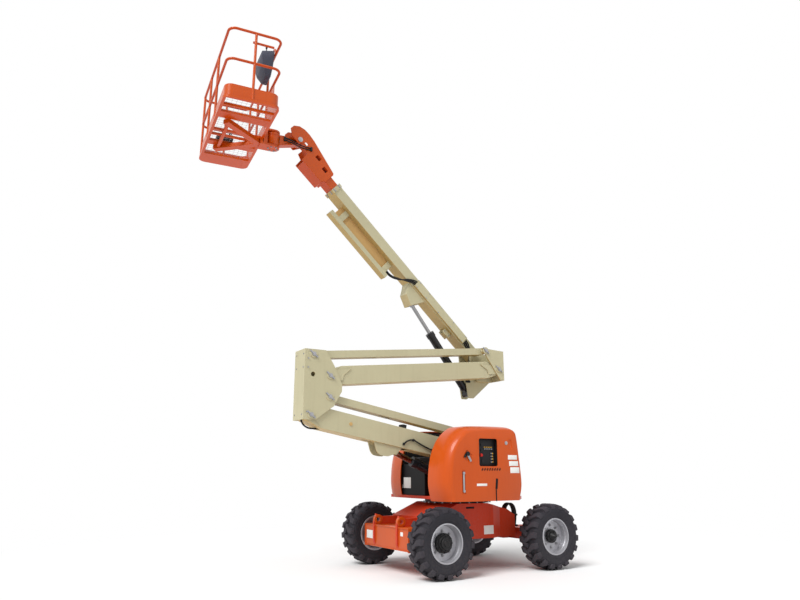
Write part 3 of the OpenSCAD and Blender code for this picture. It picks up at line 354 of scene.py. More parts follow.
# %% [markdown]
# Painting the solids
#
# The record already says which finish each solid wears. Two differ here: the slewing ring is drawn in dark iron,
# and the rear beam wears the hoods' orange. That orange is painted light: the beam faces the lamp, and the deep
# red of the rest of the chassis stands for the same paint in shade. Folded and welded steel has no knife edges,
# so the big plates also get a small bevel. A solid's mesh is loose triangles, so a Weld modifier joins them first.

# %% Finish each solid
slot_of_node = {entry["node"]: entry["material_slot"] for entry in frame["record"]["subparts"]}
# The rear beam takes orange as painted light, the lit copy of the chassis paint where it faces the lamp; the slewing
# ring takes dark iron
FINISH_SWAPS_AND_PAINTED_LIGHT = {"slew_ring": "engine_iron", "rear_axle": "orange_paint"}
# Bevel widths in metres
SOFT_EDGES = {
    "chassis_frame": 0.006, "rear_axle": 0.006, "front_axle": 0.004, "turntable_base": 0.005,
    "tower_post": 0.003, "counterweight": 0.03, "lower_arm": 0.005, "upper_arm": 0.005,
    "lower_link": 0.004, "upper_link": 0.004, "knee_upright": 0.003, "boom_upright": 0.003,
    "main_boom": 0.005, "hose_tray": 0.004, "fly_boom": 0.005, "level_bracket": 0.006,
    "platform_support": 0.005, "control_console": 0.02, "engine_block": 0.012, "hydraulic_tank": 0.012,
    "control_box": 0.006, "foot_switch": 0.012,
}
WELD_REACH = 0.00005
BEVEL_ANGLE = math.radians(38)

for name, solid in nodes.items():
    solid.data.materials.clear()
    solid.data.materials.append(FINISHES[FINISH_SWAPS_AND_PAINTED_LIGHT.get(name, slot_of_node[name])])
    if name in SOFT_EDGES:
        solid.modifiers.new("join_triangles", "WELD").merge_threshold = WELD_REACH
        bevel = solid.modifiers.new("soft_edges", "BEVEL")
        bevel.limit_method = "ANGLE"
        bevel.angle_limit = BEVEL_ANGLE
        bevel.width = SOFT_EDGES[name]
        bevel.segments = 2
        bevel.harden_normals = False
print("painted:", len(nodes), "softened:", len(SOFT_EDGES))

# %% [markdown]
# Tools for making pieces
#
# A few small builders cover nearly everything: a lathe for what a wheel or hub is turned from, blocks, discs
# and plates for what is cut or folded. Each adds a form to a bmesh. mesh_of runs a list of them, and dress
# turns the mesh into a finished piece that rides on its body.

# %% Builders
SMOOTH_ANGLE = math.radians(34)
ACROSS = (0, 1, 0)
# The record's slot for a finish that isn't a slot itself. The small coloured pieces have none.
SLOTS = {
    "cream_painted_shade": "cream_paint", "worn_rubber": "tyre_rubber", "shadow_black": "black_plastic", "blank_white": None,
    "warm_yellow": None, "signal_red": None,
}


def finish_mesh(shape, recalculate=True):
    if recalculate:
        bmesh.ops.recalc_face_normals(shape, faces=shape.faces)
    mesh = bpy.data.meshes.new("piece")
    shape.to_mesh(mesh)
    shape.free()
    return mesh


def joined(*meshes):
    shape = bmesh.new()
    for mesh in meshes:
        shape.from_mesh(mesh)
    return finish_mesh(shape, recalculate=False)


def form_mesh(builder, *values):
    shape = bmesh.new()
    builder(shape, *values)
    return finish_mesh(shape)


def mesh_of(*forms):
    """One mesh of several forms, each a builder and its values. Each is built alone, so its order is kept."""
    return joined(*(form_mesh(*form) for form in forms))


def dress(name, mesh, finish, body=None, replaces=(), slot=""):
    """Makes a piece of a mesh, gives it its finish and lets it ride on a body, if one is given."""
    mesh.name = name
    mesh.materials.clear()
    mesh.materials.append(FINISHES[finish])
    mesh.shade_smooth()
    mesh.set_sharp_from_angle(angle=SMOOTH_ANGLE)
    piece = bpy.data.objects.new(name, mesh)
    scene.collection.objects.link(piece)
    slot = slot or SLOTS.get(finish, finish)
    if body:
        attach(piece, body)
    if replaces:
        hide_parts(*replaces)
    return piece


def lathe(shape, profile, segments):
    """Turns (radius, along) points about the Y axis. A radius of zero closes the end."""
    rings = []
    for radius, along in profile:
        if radius == 0:
            rings.append([shape.verts.new((0, along, 0))])
            continue
        steps = (2 * math.pi * i / segments for i in range(segments))
        rings.append([shape.verts.new((radius * math.cos(t), along, radius * math.sin(t))) for t in steps])
    for first, second in zip(rings, rings[1:]):
        for i in range(segments):
            j = (i + 1) % segments
            corners = (first[i % len(first)], first[j % len(first)], second[j % len(second)], second[i % len(second)])
            unique = list(dict.fromkeys(corners))
            if len(unique) > 2:
                shape.faces.new(unique)


def closed_lathe(shape, profile, segments):
    lathe(shape, list(profile) + [profile[0]], segments)
    bmesh.ops.remove_doubles(shape, verts=shape.verts, dist=WELD_REACH)


def lean(angle):
    """A turn about the axis that runs across the machine."""
    return Matrix.Rotation(angle, 3, "Y")


def block(shape, centre, size, bevel=0.0, turn=None):
    """A box with softened edges. turn is a rotation matrix about its own centre."""
    made = bmesh.ops.create_cube(shape, size=1.0)["verts"]
    bmesh.ops.scale(shape, verts=made, vec=size)
    if bevel:
        # A dict keeps its order, where a set may not
        edges = list(dict.fromkeys(edge for vert in made for edge in vert.link_edges))
        result = bmesh.ops.bevel(shape, geom=edges, offset=bevel, segments=2, affect="EDGES", profile=0.5)
        rounded = [vert for face in result["faces"] for vert in face.verts]
        made = list(dict.fromkeys(rounded + [vert for vert in made if vert.is_valid]))
    if turn is not None:
        bmesh.ops.rotate(shape, verts=made, cent=(0, 0, 0), matrix=turn)
    bmesh.ops.translate(shape, verts=made, vec=centre)


def disc(shape, centre, axis, radius, height, sides=24, tip=None):
    """A cylinder or cone about an axis, centred at a point."""
    turn = Vector((0, 0, 1)).rotation_difference(Vector(axis)).to_matrix().to_4x4()
    bmesh.ops.create_cone(
        shape, cap_ends=True, segments=sides, radius1=radius, radius2=radius if tip is None else tip,
        depth=height, matrix=Matrix.Translation(centre) @ turn)


def plate(shape, outline, y, thickness):
    """A flat plate with an outline of (x, z) points, standing across the machine at y."""
    near = [shape.verts.new((x, y - thickness / 2, z)) for x, z in outline]
    far = [shape.verts.new((x, y + thickness / 2, z)) for x, z in outline]
    shape.faces.new(near)
    shape.faces.new(far[::-1])
    for i in range(len(outline)):
        j = (i + 1) % len(outline)
        shape.faces.new((near[j], near[i], far[i], far[j]))


def moved(mesh, place, flip=False):
    """A mesh moved from the origin to its place. flip turns it half round the upright axis first."""
    turn = Matrix.Rotation(math.pi, 4, "Z") if flip else Matrix.Identity(4)
    mesh.transform(Matrix.Translation(place) @ turn)
    return mesh


print("builders ready")

# %% [markdown]
# Geometry Nodes for what repeats
#
# Lugs, wheel nuts, louvres and bolts are the same shape many times over. A node tree places the copies from
# a count and a step, so a change of one number changes the whole set. Hoses are a circle swept along a curve.
# The result is realized and turned into a plain mesh, since a model that leaves Blender carries no instances.

# %% Node trees
def geometry_tree(name, build, inputs):
    """A tree with named inputs. build adds its own nodes and returns the geometry to realize and paint."""
    tree = bpy.data.node_groups.new(name, "GeometryNodeTree")
    for label, kind in {"Geometry": "Geometry", **inputs, "Finish": "Material"}.items():
        tree.interface.new_socket(label, in_out="INPUT", socket_type="NodeSocket" + kind)
    tree.interface.new_socket("Geometry", in_out="OUTPUT", socket_type="NodeSocketGeometry")
    given = node(tree, "NodeGroupInput").outputs
    real = node(tree, "GeometryNodeRealizeInstances", {0: build(tree, given)})
    painted = node(tree, "GeometryNodeSetMaterial", {"Geometry": real.outputs[0], "Material": given["Finish"]})
    node(tree, "NodeGroupOutput", {0: painted.outputs[0]})
    return tree


def copies(tree, given, points, more=None):
    shape = node(tree, "GeometryNodeGeometryToInstance", {0: given["Geometry"]}).outputs[0]
    inputs = {"Points": points, "Instance": shape, **(more or {})}
    return node(tree, "GeometryNodeInstanceOnPoints", inputs).outputs[0]


def ring(tree, given):
    """Copies of a shape turned about the Y axis, evenly spaced."""
    line = node(tree, "GeometryNodeMeshLine", {"Count": given["Count"], "Offset": (0, 0, 0)}).outputs[0]
    step = maths(tree, "DIVIDE", 2 * math.pi, given["Count"])
    angle = maths(tree, "MULTIPLY", node(tree, "GeometryNodeInputIndex").outputs[0], step)
    turn = node(tree, "ShaderNodeCombineXYZ", {"Y": angle}).outputs[0]
    return copies(tree, given, line, {"Rotation": turn})


def row(tree, given):
    """Copies of a shape in a straight row."""
    line = node(tree, "GeometryNodeMeshLine", {"Count": given["Count"], "Offset": given["Step"]}).outputs[0]
    return copies(tree, given, line)


def swept(tree, given):
    """A round pipe along a curve, closed at both ends."""
    circle = node(tree, "GeometryNodeCurvePrimitiveCircle", {"Resolution": given["Sides"], "Radius": given["Radius"]})
    return node(tree, "GeometryNodeCurveToMesh", {
        "Curve": given["Geometry"], "Profile Curve": circle.outputs[0], "Fill Caps": True}).outputs[0]


RING = geometry_tree("ring_of_copies", ring, {"Count": "Int"})
ROW = geometry_tree("row_of_copies", row, {"Count": "Int", "Step": "Vector"})
PIPE = geometry_tree("pipe_on_curve", swept, {"Radius": "Float", "Sides": "Int"})


def as_modified(holder):
    """An object's shape after its modifiers, as a plain mesh."""
    graph = bpy.context.evaluated_depsgraph_get()
    return bpy.data.meshes.new_from_object(holder.evaluated_get(graph))


def grow(tree, data, finish, **inputs):
    """Runs a node tree on a mesh or curve and returns the result as a plain mesh."""
    holder = bpy.data.objects.new("holder", data)
    scene.collection.objects.link(holder)
    modifier = holder.modifiers.new("nodes", "NODES")
    modifier.node_group = tree
    inputs["Finish"] = FINISHES[finish]
    for item in tree.interface.items_tree:
        if item.in_out == "INPUT" and item.name in inputs:
            modifier[item.identifier] = inputs[item.name]
    mesh = as_modified(holder)
    holder.modifiers.remove(modifier)
    bpy.data.objects.remove(holder)
    return mesh


def pipe(points, radius, finish="black_plastic", sides=12):
    """A round pipe on a smooth curve through points."""
    path = bpy.data.curves.new("path", "CURVE")
    path.dimensions = "3D"
    path.twist_mode = "MINIMUM"
    spline = path.splines.new("BEZIER")
    spline.bezier_points.add(len(points) - 1)
    for knot, point in zip(spline.bezier_points, points):
        knot.co = point
        knot.handle_left_type = knot.handle_right_type = "AUTO"
    return grow(PIPE, path, finish, Radius=radius, Sides=sides)


print("trees:", RING.name, ROW.name, PIPE.name)

# %% [markdown]
# Tyres
#
# A rough-terrain tyre is a round carcass with tall bars set in a chevron, one row from each shoulder, half a
# pitch apart. Each bar runs from the middle of the tread, bends and wraps over the shoulder. The carcass is
# turned on the lathe and one bar is lofted one listed section at a time, then the ring tree sets them round the
# wheel.

# %% Tyre shapes
BARS_PER_SIDE = 18
BAR_DEPTH = 0.034
BAR_ROOT = 0.012
BAR_FLARE = 1.18
BAR_BEVEL = 0.004
TYRE_SEGMENTS = 96
# Half of the carcass profile: share of the way from bead to tread base, share of the half width
CARCASS_SHARES = [
    (0.0, 0.78), (0.06, 0.86), (0.14, 0.90), (0.22, 0.925), (0.26, 0.94), (0.29, 0.925), (0.42, 0.955), (0.60, 0.975),
    (0.70, 0.98), (0.73, 0.965), (0.80, 0.95), (0.90, 0.90), (0.965, 0.80), (0.99, 0.55), (1.0, 0.0),
]
# One bar: share of the half width, turn in pitches, half thickness in pitches, depth below the tips in metres
BAR_SECTIONS = [
    (-0.09, 0.50, 0.170, 0.000), (0.20, 0.38, 0.190, 0.000), (0.40, 0.16, 0.225, 0.001), (0.56, 0.06, 0.245, 0.003),
    (0.78, 0.00, 0.250, 0.008), (0.93, 0.00, 0.255, 0.016), (0.995, 0.00, 0.250, 0.036), (1.0, 0.00, 0.235, 0.062),
]
BEAD_SHARE = 0.545


def carcass(radius, half_width):
    base = radius - BAR_DEPTH
    bead = radius * BEAD_SHARE
    half = [(bead + s * (base - bead), y * half_width) for s, y in CARCASS_SHARES]
    return mesh_of((closed_lathe, half + [(r, -y) for r, y in half[-2::-1]], TYRE_SEGMENTS))


def tread_bar(radius, half_width, side):
    pitch = 2 * math.pi / BARS_PER_SIDE
    shape = bmesh.new()
    rows = []
    for across, turn, half, drop in BAR_SECTIONS:
        top = radius - drop
        root = min(top - BAR_ROOT, radius - BAR_DEPTH - BAR_ROOT)
        y = side * across * half_width
        inner = side * (across - 0.08) * half_width if across > 0.95 else y
        corners = ((root, -BAR_FLARE, inner), (top, -1, y), (top, 1, y), (root, BAR_FLARE, inner))
        angles = [(turn + edge * half + 0.25 * side) * pitch for _, edge, _ in corners]
        rows.append([shape.verts.new((level * math.cos(angle), depth, level * math.sin(angle)))
                     for (level, _, depth), angle in zip(corners, angles)])
    for first, second in zip(rows, rows[1:]):
        for i in range(4):
            j = (i + 1) % 4
            shape.faces.new((first[i], first[j], second[j], second[i]))
    shape.faces.new(rows[0])
    shape.faces.new(rows[-1])
    bmesh.ops.recalc_face_normals(shape, faces=shape.faces)
    lines = [[r[1] for r in rows], [r[2] for r in rows]]
    crests = dict.fromkeys(edge for line in lines for vert in line for edge in vert.link_edges
                           if edge.other_vert(vert) in line)
    bmesh.ops.bevel(shape, geom=list(crests), offset=BAR_BEVEL, segments=2, affect="EDGES", profile=0.6)
    return finish_mesh(shape)


WHEELS = ["rear_near", "rear_far", "steer_near", "steer_far"]
wheel_middle = {}
for wheel in WHEELS:
    low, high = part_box(wheel + "_tyre")
    middle = wheel_middle[wheel] = (low + high) / 2
    radius, half_width = (high.z - low.z) / 2, (high.y - low.y) / 2
    bars = joined(*(grow(RING, tread_bar(radius, half_width, side), "worn_rubber", Count=BARS_PER_SIDE)
                    for side in (-1, 1)))
    body, far_side = wheel + "_wheel", middle.y > 0
    dress(wheel + "_carcass", moved(carcass(radius, half_width), middle, far_side), "tyre_rubber", body,
          [wheel + "_tyre"])
    dress(wheel + "_tread_bars", moved(bars, middle, far_side), "worn_rubber", body)
print("tyre radius:", round(radius, 3), "bars:", BARS_PER_SIDE * 2)

# %% [markdown]
# Rims and hubs
#
# The rims are pressed steel with a rolled lip, a stepped drop centre and a deep dished disc, held by a ring
# of nuts. The driven wheels carry a big stepped reduction hub, the steered ones a pointed grease cap.

# %% Rims and hubs
RIM_SEGMENTS = 72
# Rim profile, outwards: radius as a share of the lip's, distance along the axle as a share of the half width
RIM_SHARES = [
    (0.925, 1.0), (0.975, 1.0), (1.0, 0.965), (0.995, 0.93), (0.95, 0.915), (0.942, 0.90), (0.942, 0.70),
    (0.90, 0.62), (0.90, 0.10), (0.942, -0.05), (0.942, -0.90), (0.995, -0.93), (1.0, -0.97), (0.975, -1.0),
    (0.90, -1.0), (0.885, -0.93), (0.882, -0.30), (0.86, 0.02), (0.80, 0.045), (0.62, 0.10), (0.42, 0.06),
    (0.355, 0.05), (0.355, 0.14), (0.43, 0.15), (0.62, 0.195), (0.80, 0.14), (0.852, 0.16), (0.868, 0.24),
    (0.868, 0.585), (0.885, 0.64), (0.912, 0.72), (0.912, 0.93),
]
# Hub profiles, in metres from the rim's middle plane
DRIVE_HUB = [
    (0.0, 0.128), (0.034, 0.130), (0.038, 0.126), (0.040, 0.119), (0.066, 0.119), (0.072, 0.113), (0.072, 0.100),
    (0.088, 0.099), (0.094, 0.092), (0.094, 0.078), (0.112, 0.076), (0.118, 0.070), (0.118, 0.038), (0.110, 0.034),
    (0.0836, 0.020), (0.0836, -0.040), (0.0, -0.040),
]
STEER_HUB = [
    (0.0, 0.140), (0.012, 0.139), (0.020, 0.132), (0.030, 0.118), (0.052, 0.086), (0.058, 0.080), (0.062, 0.066),
    (0.086, 0.062), (0.088, 0.057), (0.088, 0.036), (0.0836, 0.020), (0.0836, -0.040), (0.0, -0.040),
]
# Rings of nuts: count, then radius of the ring, place along the axle, size and height of a nut
RIM_NUTS = (8, 0.142, 0.036, 0.015, 0.016)
DRIVE_NUTS = [(12, 0.104, 0.080, 0.008, 0.010), (8, 0.080, 0.104, 0.006, 0.008)]
STEER_NUTS = [(6, 0.075, 0.066, 0.006, 0.008)]
HUB_FINS = 12


def nut_ring(finish, count, circle, along, size, height):
    """A ring of hexagon nuts, each with its stud and washer."""
    nut = mesh_of(
        (disc, (circle, along, 0), ACROSS, size, height, 6),
        (disc, (circle, along + height * 0.7, 0), ACROSS, size * 0.5, height, 8),
        (disc, (circle, along - height * 0.45, 0), ACROSS, size * 1.35, height * 0.3, 16))
    return grow(RING, nut, finish, Count=count)


for wheel in WHEELS:
    body, middle = wheel + "_wheel", wheel_middle[wheel]
    near_side, driven = middle.y <= 0, wheel.startswith("rear")
    low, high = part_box(wheel + "_rim")
    lip, half = (high.z - low.z) / 2, (high.y - low.y) / 2
    rim = mesh_of((closed_lathe, [(r * lip, y * half) for r, y in RIM_SHARES], RIM_SEGMENTS))
    valve = mesh_of((disc, (lip * 0.80, half * 0.26, 0), ACROSS, 0.006, 0.05, 10))
    nuts = joined(nut_ring("bare_steel", *RIM_NUTS), valve)
    hub = [mesh_of((lathe, DRIVE_HUB if driven else STEER_HUB, RIM_SEGMENTS))]
    hub += [nut_ring("hub_black", *values) for values in (DRIVE_NUTS if driven else STEER_NUTS)]
    if driven:
        fin = mesh_of((block, (0.112, 0.056, 0), (0.016, 0.030, 0.012), 0.002))
        hub.append(grow(RING, fin, "hub_black", Count=HUB_FINS))
    dress(wheel + "_dished_rim", moved(rim, middle, near_side), "rim_silver", body, [wheel + "_rim"])
    dress(wheel + "_nuts", moved(nuts, middle, near_side), "bare_steel", body)
    dress(wheel + "_hub_cover", moved(joined(*hub), middle, near_side), "hub_black", body, [wheel + "_hub"])
print("wheels dressed:", len(WHEELS))

# %% [markdown]
# Hoods
#
# The two hoods are moulded shells with a broad rounded shoulder along the front and top and a straight skirt.
# A box with a bevel would look pressed from sheet, so the shell is lofted: the side outline is repeated at
# several depths, drawn in a little more each time, and the last outline closes the side face. The window, the
# latch pocket and the other recesses are cut with Booleans, as they are moulded in the real panel.

# %% Hood shells
# Side outline as shares of the hood's length and height, from the front's lower corner round to the rear's
HOOD_SHARES = [
    (0.032, 0.0), (0.0, 0.19), (0.003, 0.38), (0.026, 0.56), (0.068, 0.71), (0.136, 0.84), (0.226, 0.94),
    (0.32, 0.985), (0.55, 1.0), (0.80, 1.0), (0.87, 0.988), (0.92, 0.95), (0.95, 0.87), (0.976, 0.60), (1.0, 0.22),
    (0.964, 0.0),
]
# How the outline draws in towards the side face: depth from the open side, inset, both in metres
SHOULDER = [
    (0.0, 0.0), (0.16, 0.003), (0.235, 0.014), (0.285, 0.033), (0.318, 0.056), (0.338, 0.078), (0.347, 0.096),
    (0.350, 0.115),
]
REAR_EASE = 0.38
HOOD_THICKNESS = 0.012
OUTLINE_STEPS = 6


def smooth_line(points, steps):
    """Catmull-Rom points through a list of points."""
    padded = [points[0]] + list(points) + [points[-1]]
    line = []
    for i in range(1, len(padded) - 2):
        before, start, end, after = (Vector(p) for p in padded[i - 1:i + 3])
        for t in (k / steps for k in range(steps)):
            line.append(0.5 * (2 * start + (end - before) * t + (2 * before - 5 * start + 4 * end - after) * t ** 2
                               + (3 * start - before - 3 * end + after) * t ** 3))
    return line + [Vector(padded[-2])]


def drawn_in(line, inset, floor_z):
    """The outline moved inwards by an inset, less towards the rear, its two ends kept on the floor line."""
    result = []
    front = min(point.x for point in line)
    rear = max(point.x for point in line)
    for i, point in enumerate(line):
        along = line[min(i + 1, len(line) - 1)] - line[max(i - 1, 0)]
        inward = Vector((along.y, -along.x)).normalized()
        share = (point.x - front) / (rear - front)
        spot = point + inward * inset * (1 - (1 - REAR_EASE) * share)
        spot.y = floor_z if i in (0, len(line) - 1) else max(spot.y, floor_z)
        result.append(spot)
    return result


def hood_shell(low, high, side):
    """A moulded hood. side is -1 for the near one, whose face looks along -Y."""
    length, height = high.x - low.x, high.z - low.z
    outline = smooth_line([(low.x + s * length, low.z + t * height) for s, t in HOOD_SHARES], OUTLINE_STEPS)
    open_y = high.y if side < 0 else low.y
    shape = bmesh.new()
    rows = []
    for depth, inset in SHOULDER:
        y = open_y + side * depth * abs(high.y - low.y) / SHOULDER[-1][0]
        rows.append([shape.verts.new((p.x, y, p.y)) for p in drawn_in(outline, inset, low.z)])
    for first, second in zip(rows, rows[1:]):
        for i in range(len(first) - 1):
            shape.faces.new((first[i], first[i + 1], second[i + 1], second[i]))
    face = shape.faces.new(rows[-1])
    bmesh.ops.recalc_face_normals(shape, faces=shape.faces)
    if face.normal.y * side < 0:
        bmesh.ops.reverse_faces(shape, faces=shape.faces)
    return finish_mesh(shape, recalculate=False)


def cut(mesh, cutters):
    """The mesh with a wall of its own thickness, less the cutters."""
    holder = bpy.data.objects.new("holder", mesh)
    scene.collection.objects.link(holder)
    wall = holder.modifiers.new("wall", "SOLIDIFY")
    wall.thickness = HOOD_THICKNESS
    wall.offset = -1
    tools = [bpy.data.objects.new("cutter", cutter) for cutter in cutters]
    for tool in tools:
        scene.collection.objects.link(tool)
        boolean = holder.modifiers.new("cut", "BOOLEAN")
        boolean.operation = "DIFFERENCE"
        boolean.object = tool
        boolean.solver = "EXACT"
    result = as_modified(holder)
    for used in [holder] + tools:
        bpy.data.objects.remove(used)
    return result


near_low, near_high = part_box("near_hood")
far_low, far_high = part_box("far_hood")
FACE_Y = near_low.y
# Recesses in the near hood's face: x, z, length, height
WINDOW = (-0.20, 1.515, 0.305, 0.352)
LATCH = (-0.607, 1.143, 0.050, 0.285)
OVAL = (0.175, 1.628, 0.052, 0.120)
KNOB = (-0.535, 1.462, 0.115, 0.115)


def pocket(recess, depth, bevel, tilt=0.0):
    x, z, length, height = recess
    return mesh_of((block, (x, FACE_Y, z), (length, depth, height), bevel, lean(tilt)))


near_shell = cut(hood_shell(near_low, near_high, -1), [
    pocket(WINDOW, 0.12, 0.022), pocket(OVAL, 0.02, 0.0095, -0.12), pocket(LATCH, 0.016, 0.0078),
    pocket(KNOB, 0.018, 0.0088, 0.6)])
dress("near_hood_shell", near_shell, "orange_paint", "near_hood", ["near_hood"])
far_shell = cut(hood_shell(far_low, far_high, 1), [])
dress("far_hood_shell", far_shell, "orange_paint", "far_hood", ["far_hood"])
print("hood faces:", len(near_shell.polygons), len(far_shell.polygons))

# %% [markdown]
# Hood fittings
#
# The near hood carries a latch bar, a knob, a row of slanted louvres, blank plates and a black strip. A sleeve
# inside its window hides the gap to the control panel behind it.

# %% Hood fittings
VENT_START = (-0.305, 1.300)
VENT_STEP = 0.041
VENTS = 8
STRIP = (-0.078, 1.050)
BUTTON = (0.105, 1.640)
SLEEVE_DEPTH = 0.044
SLEEVE_WALL = 0.006
# Blank plates: x, z, length, height
BLANKS = [
    (0.205, 1.455, 0.155, 0.058), (0.222, 1.375, 0.155, 0.062), (0.238, 1.290, 0.155, 0.075),
    (-0.320, 1.108, 0.165, 0.030),
]


def on_face(spot, dx=0.0, dz=0.0, out=0.001):
    """A place on the near hood's face, beside a spot and standing out from it."""
    return (spot[0] + dx, FACE_Y - out, spot[1] + dz)


louvre = mesh_of((block, on_face(VENT_START), (0.017, 0.004, 0.036), 0.0015, lean(0.55)))
vents = grow(ROW, louvre, "shadow_black", Count=VENTS, Step=(VENT_STEP, 0, 0))
strip = mesh_of(
    (block, on_face(STRIP, dz=0.07), (0.034, 0.006, 0.13), 0.0025, lean(0.12)),
    (block, on_face(STRIP, -0.012, -0.07), (0.016, 0.006, 0.155), 0.0025))
dress("hood_louvres", joined(vents, strip), "shadow_black", "near_hood")

sleeve = []
for side in (-1, 1):
    aside, above = (side * (size + SLEEVE_WALL) / 2 for size in WINDOW[2:])
    out = -HOOD_THICKNESS / 2 - SLEEVE_DEPTH / 2
    sleeve.append((block, on_face(WINDOW, dx=aside, out=out), (SLEEVE_WALL, SLEEVE_DEPTH, WINDOW[3])))
    sleeve.append((block, on_face(WINDOW, dz=above, out=out), (WINDOW[2], SLEEVE_DEPTH, SLEEVE_WALL)))
dress("window_sleeve", mesh_of(*sleeve), "shadow_black", "near_hood")

dress("hood_latch", mesh_of(
    (block, on_face(LATCH), (0.026, 0.010, 0.235), 0.004),
    *((disc, on_face(LATCH, dz=dz, out=0.004), ACROSS, 0.017, 0.012, 20) for dz in (-0.11, 0.11)),
    (disc, on_face(BUTTON), ACROSS, 0.024, 0.006, 28),
    (disc, on_face(BUTTON, out=0.004), ACROSS, 0.011, 0.006, 16),
    (block, on_face(KNOB, 0.018, -0.02, 0.006), (0.030, 0.014, 0.105), 0.006, lean(-0.55)),
), "bare_steel", "near_hood")
dress("hood_knob", mesh_of(
    (disc, on_face(KNOB, -0.006, 0.030, 0.008), ACROSS, 0.027, 0.022, 28, 0.023),
    (block, on_face(KNOB, -0.040, 0.006, 0.002), (0.030, 0.010, 0.046), 0.004, lean(0.5)),
), "black_plastic", "near_hood")
blanks = [(block, on_face(blank, out=0.0005), (blank[2], 0.003, blank[3]), 0.0012) for blank in BLANKS]
dress("hood_blank_plates", mesh_of(*blanks), "blank_white", "near_hood")
print("hood fittings ready, louvres:", VENTS)

# %% [markdown]
# Ground controls
#
# Behind the window sits the ground control panel: a dark plate with knobs, an emergency stop, and toggles with
# a yellow mark beside each. The marks are plain bars with no lettering.

# %% Ground controls
PANEL_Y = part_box("control_box")[0].y
PANEL_KNOBS = [(-0.07, 0.10), (-0.07, 0.03), (-0.06, -0.11)]
TOGGLES = 4
ROW_STEP, COLUMN_STEP = (0.036, 0, 0), (0, 0, -0.036)


def on_panel(dx, dz, out):
    """A place on the panel, from the middle of the window."""
    return (WINDOW[0] + dx, PANEL_Y - out, WINDOW[1] + dz)


def toggle(dx, dz, rise):
    return mesh_of((disc, on_panel(dx, dz, 0.012), ACROSS, 0.009, 0.008, 12),
                   (disc, on_panel(dx, dz + rise, 0.022), (0, 1, 0.25), 0.004, 0.018, 8))


def row_and_column(in_row, in_column, finish):
    return joined(grow(ROW, in_row, finish, Count=TOGGLES, Step=ROW_STEP),
                  grow(ROW, in_column, finish, Count=TOGGLES, Step=COLUMN_STEP))


dress("control_panel", mesh_of(
    (block, on_panel(0, 0, 0.004), (WINDOW[2] - 0.012, 0.008, WINDOW[3] - 0.012), 0.003),
    *((disc, on_panel(dx, dz, 0.012), ACROSS, 0.022, 0.010) for dx, dz in PANEL_KNOBS),
), "black_plastic", "turntable")
toggles = row_and_column(toggle(-0.02, 0.045, 0.003), toggle(0.082, -0.012, 0.004), "bare_steel")
dress("panel_toggles", toggles, "bare_steel", "turntable")
marks = row_and_column(
    mesh_of((block, on_panel(-0.02, 0.068, 0.0085), (0.022, 0.002, 0.008))),
    mesh_of((block, on_panel(0.110, -0.012, 0.0085), (0.012, 0.002, 0.016))), "warm_yellow")
dress("panel_marks", marks, "warm_yellow", "turntable")
stop = mesh_of((disc, on_panel(-0.085, -0.035, 0.018), ACROSS, 0.019, 0.020, 28, 0.022))
dress("panel_stop", stop, "signal_red", "turntable")
print("controls ready, toggles:", 2 * TOGGLES)

# %% [markdown]
# Pins and keepers
#
# Every tower pin ends in a steel disc held by a small diagonal keeper plate and two bolts. They repeat on both
# uprights, so one function makes a set and each upright gets its own piece.

# %% Pins and keepers
KEEPER_TURN = math.radians(52)
KEEPER_REACH = 0.055


def pin_set(points, y, out=-1):
    """Pin ends on a plate's face at y. out is -1 where the face looks to the near side."""
    forms = []
    for x, z in points:
        forms += [
            (disc, (x, y + out * 0.006, z), ACROSS, 0.026, 0.014, 32),
            (disc, (x, y + out * 0.014, z), ACROSS, 0.015, 0.008, 32),
            (block, (x, y + out * 0.004, z), (0.022, 0.010, 0.140), 0.003, lean(-KEEPER_TURN))]
        for reach in (-KEEPER_REACH, KEEPER_REACH):
            spot = (x - reach * math.sin(KEEPER_TURN), y + out * 0.011, z + reach * math.cos(KEEPER_TURN))
            forms.append((disc, spot, ACROSS, 0.008, 0.010, 6))
    return forms


def joint(name):
    return next(entry for entry in frame["joints"] if entry["name"] == name)


def joint_point(name):
    """Where a joint's axis stands in the machine's side view."""
    return Vector((joint(name)["pos_m"][0], joint(name)["pos_m"][2]))


base_pin, link_base = joint_point("tower_lift"), joint_point("lower_link_turn")
knee_pin, upper_pin = joint_point("knee_level"), joint_point("upper_arm_turn")
upper_link_pin, head_pin = joint_point("upper_link_turn"), joint_point("head_level")
head_link_pin = head_pin + upper_link_pin - upper_pin
boom_pin = joint_point("boom_lift")
knee_low, knee_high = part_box("knee_upright")
head_low, head_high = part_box("boom_upright")
knee_pins = [knee_pin, knee_pin + link_base - base_pin, upper_pin, upper_link_pin]
knee_set = mesh_of(*pin_set(knee_pins, knee_low.y), *pin_set(knee_pins, knee_high.y, out=1))
dress("knee_keepers", knee_set, "bare_steel", "knee_upright")
head_set = mesh_of(*pin_set([head_pin, head_link_pin], head_low.y), *pin_set([boom_pin], head_high.y, out=1))
dress("head_keepers", head_set, "bare_steel", "boom_upright")
print("pins:", 2 * len(knee_pins) + 3)

# %% [markdown]
# Places along the boom
#
# The boom leans, so pieces on it are easiest to place in its own directions: along it from its pivot, across
# the machine, and up from its axis. One function turns such a place into the machine's frame, and one matrix
# turns a block to lie along the boom.

# %% Boom directions
def joint_axis(name):
    return Vector(joint(name)["axis"]).normalized()


boom_along = joint_axis("fly_extend")
boom_up = Vector((boom_along.z, 0, -boom_along.x))
BOOM_Y = sum(corner.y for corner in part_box("hose_tray")) / 2
boom_root = Vector((boom_pin.x, BOOM_Y, boom_pin.y))
BOOM_TURN = lean(math.pi + math.atan2(boom_along.z, -boom_along.x))


def on_boom(along, across, up):
    return boom_root + boom_along * along + Vector((0, across, 0)) + boom_up * up


